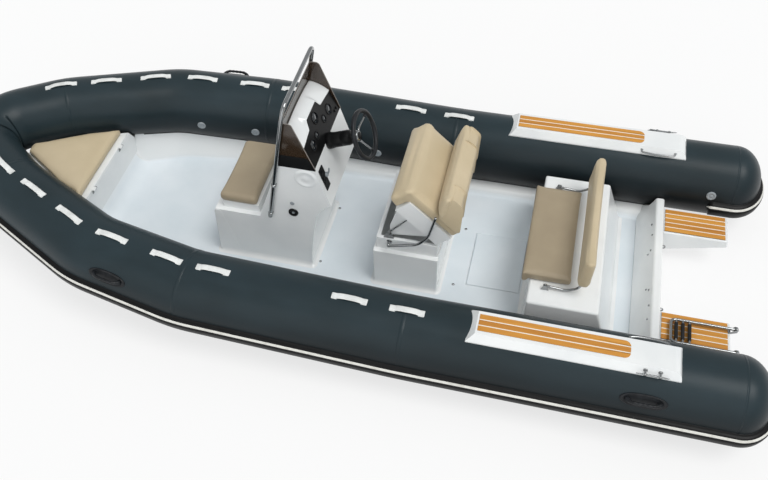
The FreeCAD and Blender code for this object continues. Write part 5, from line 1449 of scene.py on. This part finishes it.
def make_pod():
    """Rows run from a lip over the dark plate up to the sheet, down it and back; columns run across.

    The plate's upper edge steps up to the hood; the top rises from it as a power of a sine."""
    y = np.linspace(-POD_HALF, POD_HALF, 91)
    wide = np.abs(y)
    edge = np.interp(wide, POD_EDGE_Y, POD_EDGE_Z)
    lean = (DASH_HEAD[0] - DASH_FOOT[0]) / (DASH_HEAD[2] - DASH_FOOT[2])
    start = DASH_FOOT[0] + lean * (edge - DASH_FOOT[2])
    top = POD_TOP - POD_FALL * (wide / POD_HALF) ** 2
    end = POD_FRONT - (top - DASH_FOOT[2]) * FRONT_LEAN
    share = np.linspace(0.04, 1, 16)[:, None]
    x = start + 0.002 + (end - start - 0.002) * share
    z = edge + 0.0085 + (top - edge - 0.0085) * np.sin(share * math.pi / 2) ** 0.9
    rows = [(start + ahead, edge + over) for ahead, over in POD_LIP] + list(zip(x, z))
    rows += [(place + 0 * y, POD_FLOOR + 0 * y) for place in (POD_FRONT, POD_AFT)]
    grid = np.stack([np.stack([a, y, b], axis=-1) for a, b in rows])
    ends = grid.mean(axis=0)[[0, -1]]
    left, right = (np.broadcast_to(point, (len(grid), 1, 3)) for point in ends)
    Form().sheet(np.concatenate([left, grid, right], axis=1), loop_rows=True).piece(
        "console_top", GELCOAT, slot="gelcoat")


# Upright front of the seat's foot, end pads of the back's bolster, and coves along the floor

SEAT_TOE = 3.345
TOE = ((3.165, 0.0605), (SEAT_TOE, 0.0605), (3.3205, 0.5345), (3.290, 0.5345))
TOE_CORNERS = (0.010, 0.012, 0.012, 0.010)
TOE_HALF = 0.3384
BOLSTER = ((1.462, 0.764), (1.590, 0.892), (1.516, 1.080), (1.448, 1.018))
BOLSTER_CORNERS = (0.018, 0.016, 0.020, 0.022)
BOLSTER_ENDS = ((0.225, 0.372), (-0.372, -0.225))
BOLSTER_CROWN = 0.004
# Aft end, fore end, half width and reach of the cove round each foot
COVES = ((2.585, SEAT_TOE, 0.338, 0.035), (1.590, 2.078, 0.385, 0.030), (0.310, 0.935, 0.668, 0.035))
COVE_LIFT = 0.0005


def profiled(form, outline, corners, low, high, crown=0.0):
    """An upright plate from one y to another, whose edges roll as its tightest corner does."""
    line = rounded(outline, corners)[::-1]
    upright(form, line, low, high - low, min(corners), crown)


def make_toe():
    """The foot's side profile, carried from one side to the other."""
    form = Form()
    profiled(form, TOE, TOE_CORNERS, -TOE_HALF, TOE_HALF)
    form.piece("seat_toe", GELCOAT, slot="gelcoat")


def make_bolster_ends():
    """The bolster's side profile, carried on from its ends to near the edge of the back."""
    form = Form()
    for low, high in BOLSTER_ENDS:
        profiled(form, BOLSTER, BOLSTER_CORNERS, low, high, BOLSTER_CROWN)
    form.piece("bolster_ends", VINYL, slot="cushion")


def make_coves():
    """A concave quarter round swept round each foot: out r - r cos t, up r - r sin t."""
    form = Form()
    t = np.linspace(0, math.pi / 2, 9)
    for low, high, half, reach in COVES:
        line = oblong(high - low, 2 * half, 0.012, 8) + np.array([(low + high) / 2, 0])
        out = np.concatenate([[-0.016], reach * (1 - np.cos(t)), [reach + 0.001]])
        rise = np.concatenate([[reach * 1.5], reach * (1 - np.sin(t)), [-0.002]])
        grid = np.stack([
            np.concatenate([inset(line, -o), np.full((len(line), 1), SOLE_Z + COVE_LIFT + h)], axis=1)
            for o, h in zip(out, rise)])
        form.sheet(grid, loop_columns=True)
    form.piece("foot_coves", GELCOAT, slot="gelcoat", outward=False)


make_pod()
make_toe()
make_bolster_ends()
make_coves()


# Floor fasteners, transom screws and the bead that seals the tube to the sole

STUDS = ((2.538, 0.291), (1.479, 0.287))
SCREWS = ((0.075, 0.337), (0.079, 0.190), (0.092, 0.168), (0.079, 0.452))
SLOPE_TOP = (0.060, 0.316)
SLOPE_FOOT = (0.170, 0.060)


def make_fasteners():
    """Snap studs in the sole round the hatch and the helm seat, and screws in the transom's slope."""
    form = Form()
    run, drop = SLOPE_FOOT[0] - SLOPE_TOP[0], SLOPE_TOP[1] - SLOPE_FOOT[1]
    slope = unit(np.array([drop, 0, run]))
    for x, y in STUDS:
        for side in (1, -1):
            puck(form, (x, side * y, SOLE_Z), (0, 0, 1), 0.0115, -0.001, 0.0025)
            puck(form, (x, side * y, SOLE_Z), (0, 0, 1), 0.006, 0.0, 0.0060)
    for x, y in SCREWS:
        z = SLOPE_TOP[1] - (x - SLOPE_TOP[0]) * drop / run
        for side in (1, -1):
            puck(form, (x, side * y, z), slope, 0.0085, -0.001, 0.0040, 0.002)
    form.piece("fasteners", STEEL, slot="steel")


def make_bead():
    """A thin dark bead that follows the seam between the tube and the mouldings."""
    form = Form()
    runs = np.linspace(run_at(-0.01), run_at(4.42), 220)
    port = on_tube(runs, LIP_ANGLE, 0.001)
    for line in (port, port * np.array([1, -1, 1])):
        bar(form, line, 0.0055, 10)
    form.piece("bonding_bead", RUBBER, slot="moulded_rubber", outward=False)


make_fasteners()
make_bead()


# Cushions: a copy of each block, a little smaller or larger, is remeshed, blown up and smoothed

VOXEL = 0.015
FRAMES = 12
ROUNDING = 0.022
PRESSURE = 4.0
# How far a point may move, and how far outside the block's box it may end
CAP = 0.012
# The cushions that take the darker vinyl as painted shade, for the shadow of the console and of the rear
# backrest.
SHADED_SEATS = ("console_seat_cushion", "rear_cushion")
# Each cushion's body and how much smaller than its block it starts
CUSHIONS = (
    ("bow_cushion", "bow_lid", 0.008), ("console_seat_cushion", "boat", -0.010),
    ("rear_cushion", "boat", 0.008), ("rear_back", "rear_back", 0.008), ("helm_cushion", "helm_lid", 0.008),
    ("helm_back", "boat", 0.008))


def apply(item):
    """Bakes every modifier of the item into its mesh."""
    graph = bpy.context.evaluated_depsgraph_get()
    baked = bpy.data.meshes.new_from_object(item.evaluated_get(graph), depsgraph=graph)
    item.modifiers.clear()
    old, item.data = item.data, baked
    baked.name = old.name


def changed(item, kind, **settings):
    """Adds one modifier with its settings and bakes it in."""
    change = item.modifiers.new(kind.lower(), kind)
    for key, value in settings.items():
        setattr(change, key, value)
    apply(item)


def inflated(item, node, start):
    """Blows the mesh up as cloth; no point moves past CAP, nor leaves the node's box by more."""
    cloth = item.modifiers.new("cloth", "CLOTH")
    cloth.settings.use_pressure = True
    cloth.settings.uniform_pressure_force = PRESSURE
    cloth.settings.effector_weights.gravity = 0
    cloth.settings.quality = 3
    cloth.settings.tension_stiffness = 12
    cloth.settings.compression_stiffness = 12
    cloth.settings.bending_stiffness = 1.5
    cloth.point_cache.frame_start = 1
    cloth.point_cache.frame_end = FRAMES
    for step in range(1, FRAMES + 1):
        bpy.context.scene.frame_set(step)
    apply(item)
    bpy.context.scene.frame_set(1)
    move = mesh_points(item) - start
    far = np.linalg.norm(move, axis=1, keepdims=True)
    held = start + move * np.minimum(1, CAP / np.maximum(far, 1e-9))
    low, high = (np.array(corner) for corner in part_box(node))
    item.data.vertices.foreach_set("co", np.clip(held, low - CAP, high + CAP).ravel())


def cushion(node, body, shrink):
    """Bevel, remesh, inflate and smooth; the block starts smaller by shrink all round."""
    item = copied(node, node + "_padded")
    changed(item, "BEVEL", width=ROUNDING, segments=4, limit_method="ANGLE", angle_limit=math.radians(20))
    changed(item, "REMESH", mode="VOXEL", voxel_size=VOXEL)
    normals = np.empty(len(item.data.vertices) * 3)
    item.data.vertex_normals.foreach_get("vector", normals)
    start = mesh_points(item) - normals.reshape(-1, 3) * shrink
    item.data.vertices.foreach_set("co", start.ravel())
    inflated(item, node, start)
    # Painted shade: the two shaded seats get the darker copy of the vinyl.
    item.data.materials.append(SHADED_VINYL if node in SHADED_SEATS else VINYL)
    item.data.shade_smooth()
    changed(item, "SMOOTH", factor=0.5, iterations=2)
    changed(item, "SUBSURF", levels=1)
    settle(item, body, (node,))


for cushion_node, cushion_body, cushion_shrink in CUSHIONS:
    cushion(cushion_node, cushion_body, cushion_shrink)

finish_kept_nodes()


# Stage: a plain floor at the waterline, white surroundings and soft lamps

FLOOR_REACH = 60.0
FLOOR_SHADE = 0.86
FLOOR_WHITE = 0.72
SKY_LEVEL = 0.54
SKY_TINT = (0.96, 0.985, 1.0, 1)


def white_backed(name, base, share):
    """A pale diffuse floor that camera, glossy and transmitted rays see mostly as plain white."""
    material = bpy.data.materials.new(name)
    material.use_nodes = True
    nodes, links = material.node_tree.nodes, material.node_tree.links
    nodes.clear()
    out = nodes.new("ShaderNodeOutputMaterial")
    pale = nodes.new("ShaderNodeBsdfDiffuse")
    pale.inputs["Color"].default_value = (base, base, base, 1)
    white = nodes.new("ShaderNodeEmission")
    white.inputs["Strength"].default_value = 1.0
    path = nodes.new("ShaderNodeLightPath")
    seen = path.outputs["Is Camera Ray"]
    for kind in ("Is Glossy Ray", "Is Transmission Ray"):
        either = nodes.new("ShaderNodeMath")
        either.operation = "MAXIMUM"
        links.new(seen, either.inputs[0])
        links.new(path.outputs[kind], either.inputs[1])
        seen = either.outputs[0]
    scale = nodes.new("ShaderNodeMath")
    scale.operation = "MULTIPLY"
    scale.inputs[1].default_value = share
    links.new(seen, scale.inputs[0])
    mix = nodes.new("ShaderNodeMixShader")
    links.new(scale.outputs[0], mix.inputs[0])
    links.new(pale.outputs[0], mix.inputs[1])
    links.new(white.outputs[0], mix.inputs[2])
    links.new(mix.outputs[0], out.inputs["Surface"])
    return material


def make_floor():
    """One square that the camera sees as nearly white and that keeps the object's shadow."""
    corners = [(x, y, 0.0) for x in (-FLOOR_REACH, FLOOR_REACH) for y in (-FLOOR_REACH, FLOOR_REACH)]
    mesh = bpy.data.meshes.new("floor")
    mesh.from_pydata(corners, [], [[0, 2, 3, 1]])
    mesh.materials.append(white_backed("floor_white", FLOOR_SHADE, FLOOR_WHITE))
    floor = bpy.data.objects.new("floor", mesh)
    bpy.context.scene.collection.objects.link(floor)


def make_surroundings():
    """Plain light from all round; camera, glossy and transmitted rays see it as white."""
    world = bpy.data.worlds.new("surroundings")
    bpy.context.scene.world = world
    world.use_nodes = True
    nodes, links = world.node_tree.nodes, world.node_tree.links
    sky = nodes["Background"]
    sky.inputs["Color"].default_value = SKY_TINT
    path = nodes.new("ShaderNodeLightPath")
    level = nodes.new("ShaderNodeMapRange")
    level.inputs["To Min"].default_value = SKY_LEVEL
    level.inputs["To Max"].default_value = 1.0
    links.new(path.outputs["Is Camera Ray"], level.inputs["Value"])
    links.new(level.outputs[0], sky.inputs["Strength"])


def make_sun(name, place, power, degrees, tint=(1, 1, 1)):
    """Light from a place toward the origin, as soft as a disc so many degrees across."""
    lamp = bpy.data.lights.new(name, "SUN")
    lamp.energy = power
    lamp.color = tint
    lamp.angle = math.radians(degrees)
    item = bpy.data.objects.new(name, lamp)
    item.location = place
    item.rotation_euler = (-Vector(place)).to_track_quat("-Z", "Y").to_euler()
    bpy.context.scene.collection.objects.link(item)


make_floor()
make_surroundings()
make_sun("key", (-3.6, 1.2, 8.0), 1.55, 30, (1.0, 0.99, 0.97))
make_sun("fill", (0.5, 8.0, 4.0), 0.60, 60)

photo_camera()
bpy.context.scene.view_settings.view_transform = "Standard"
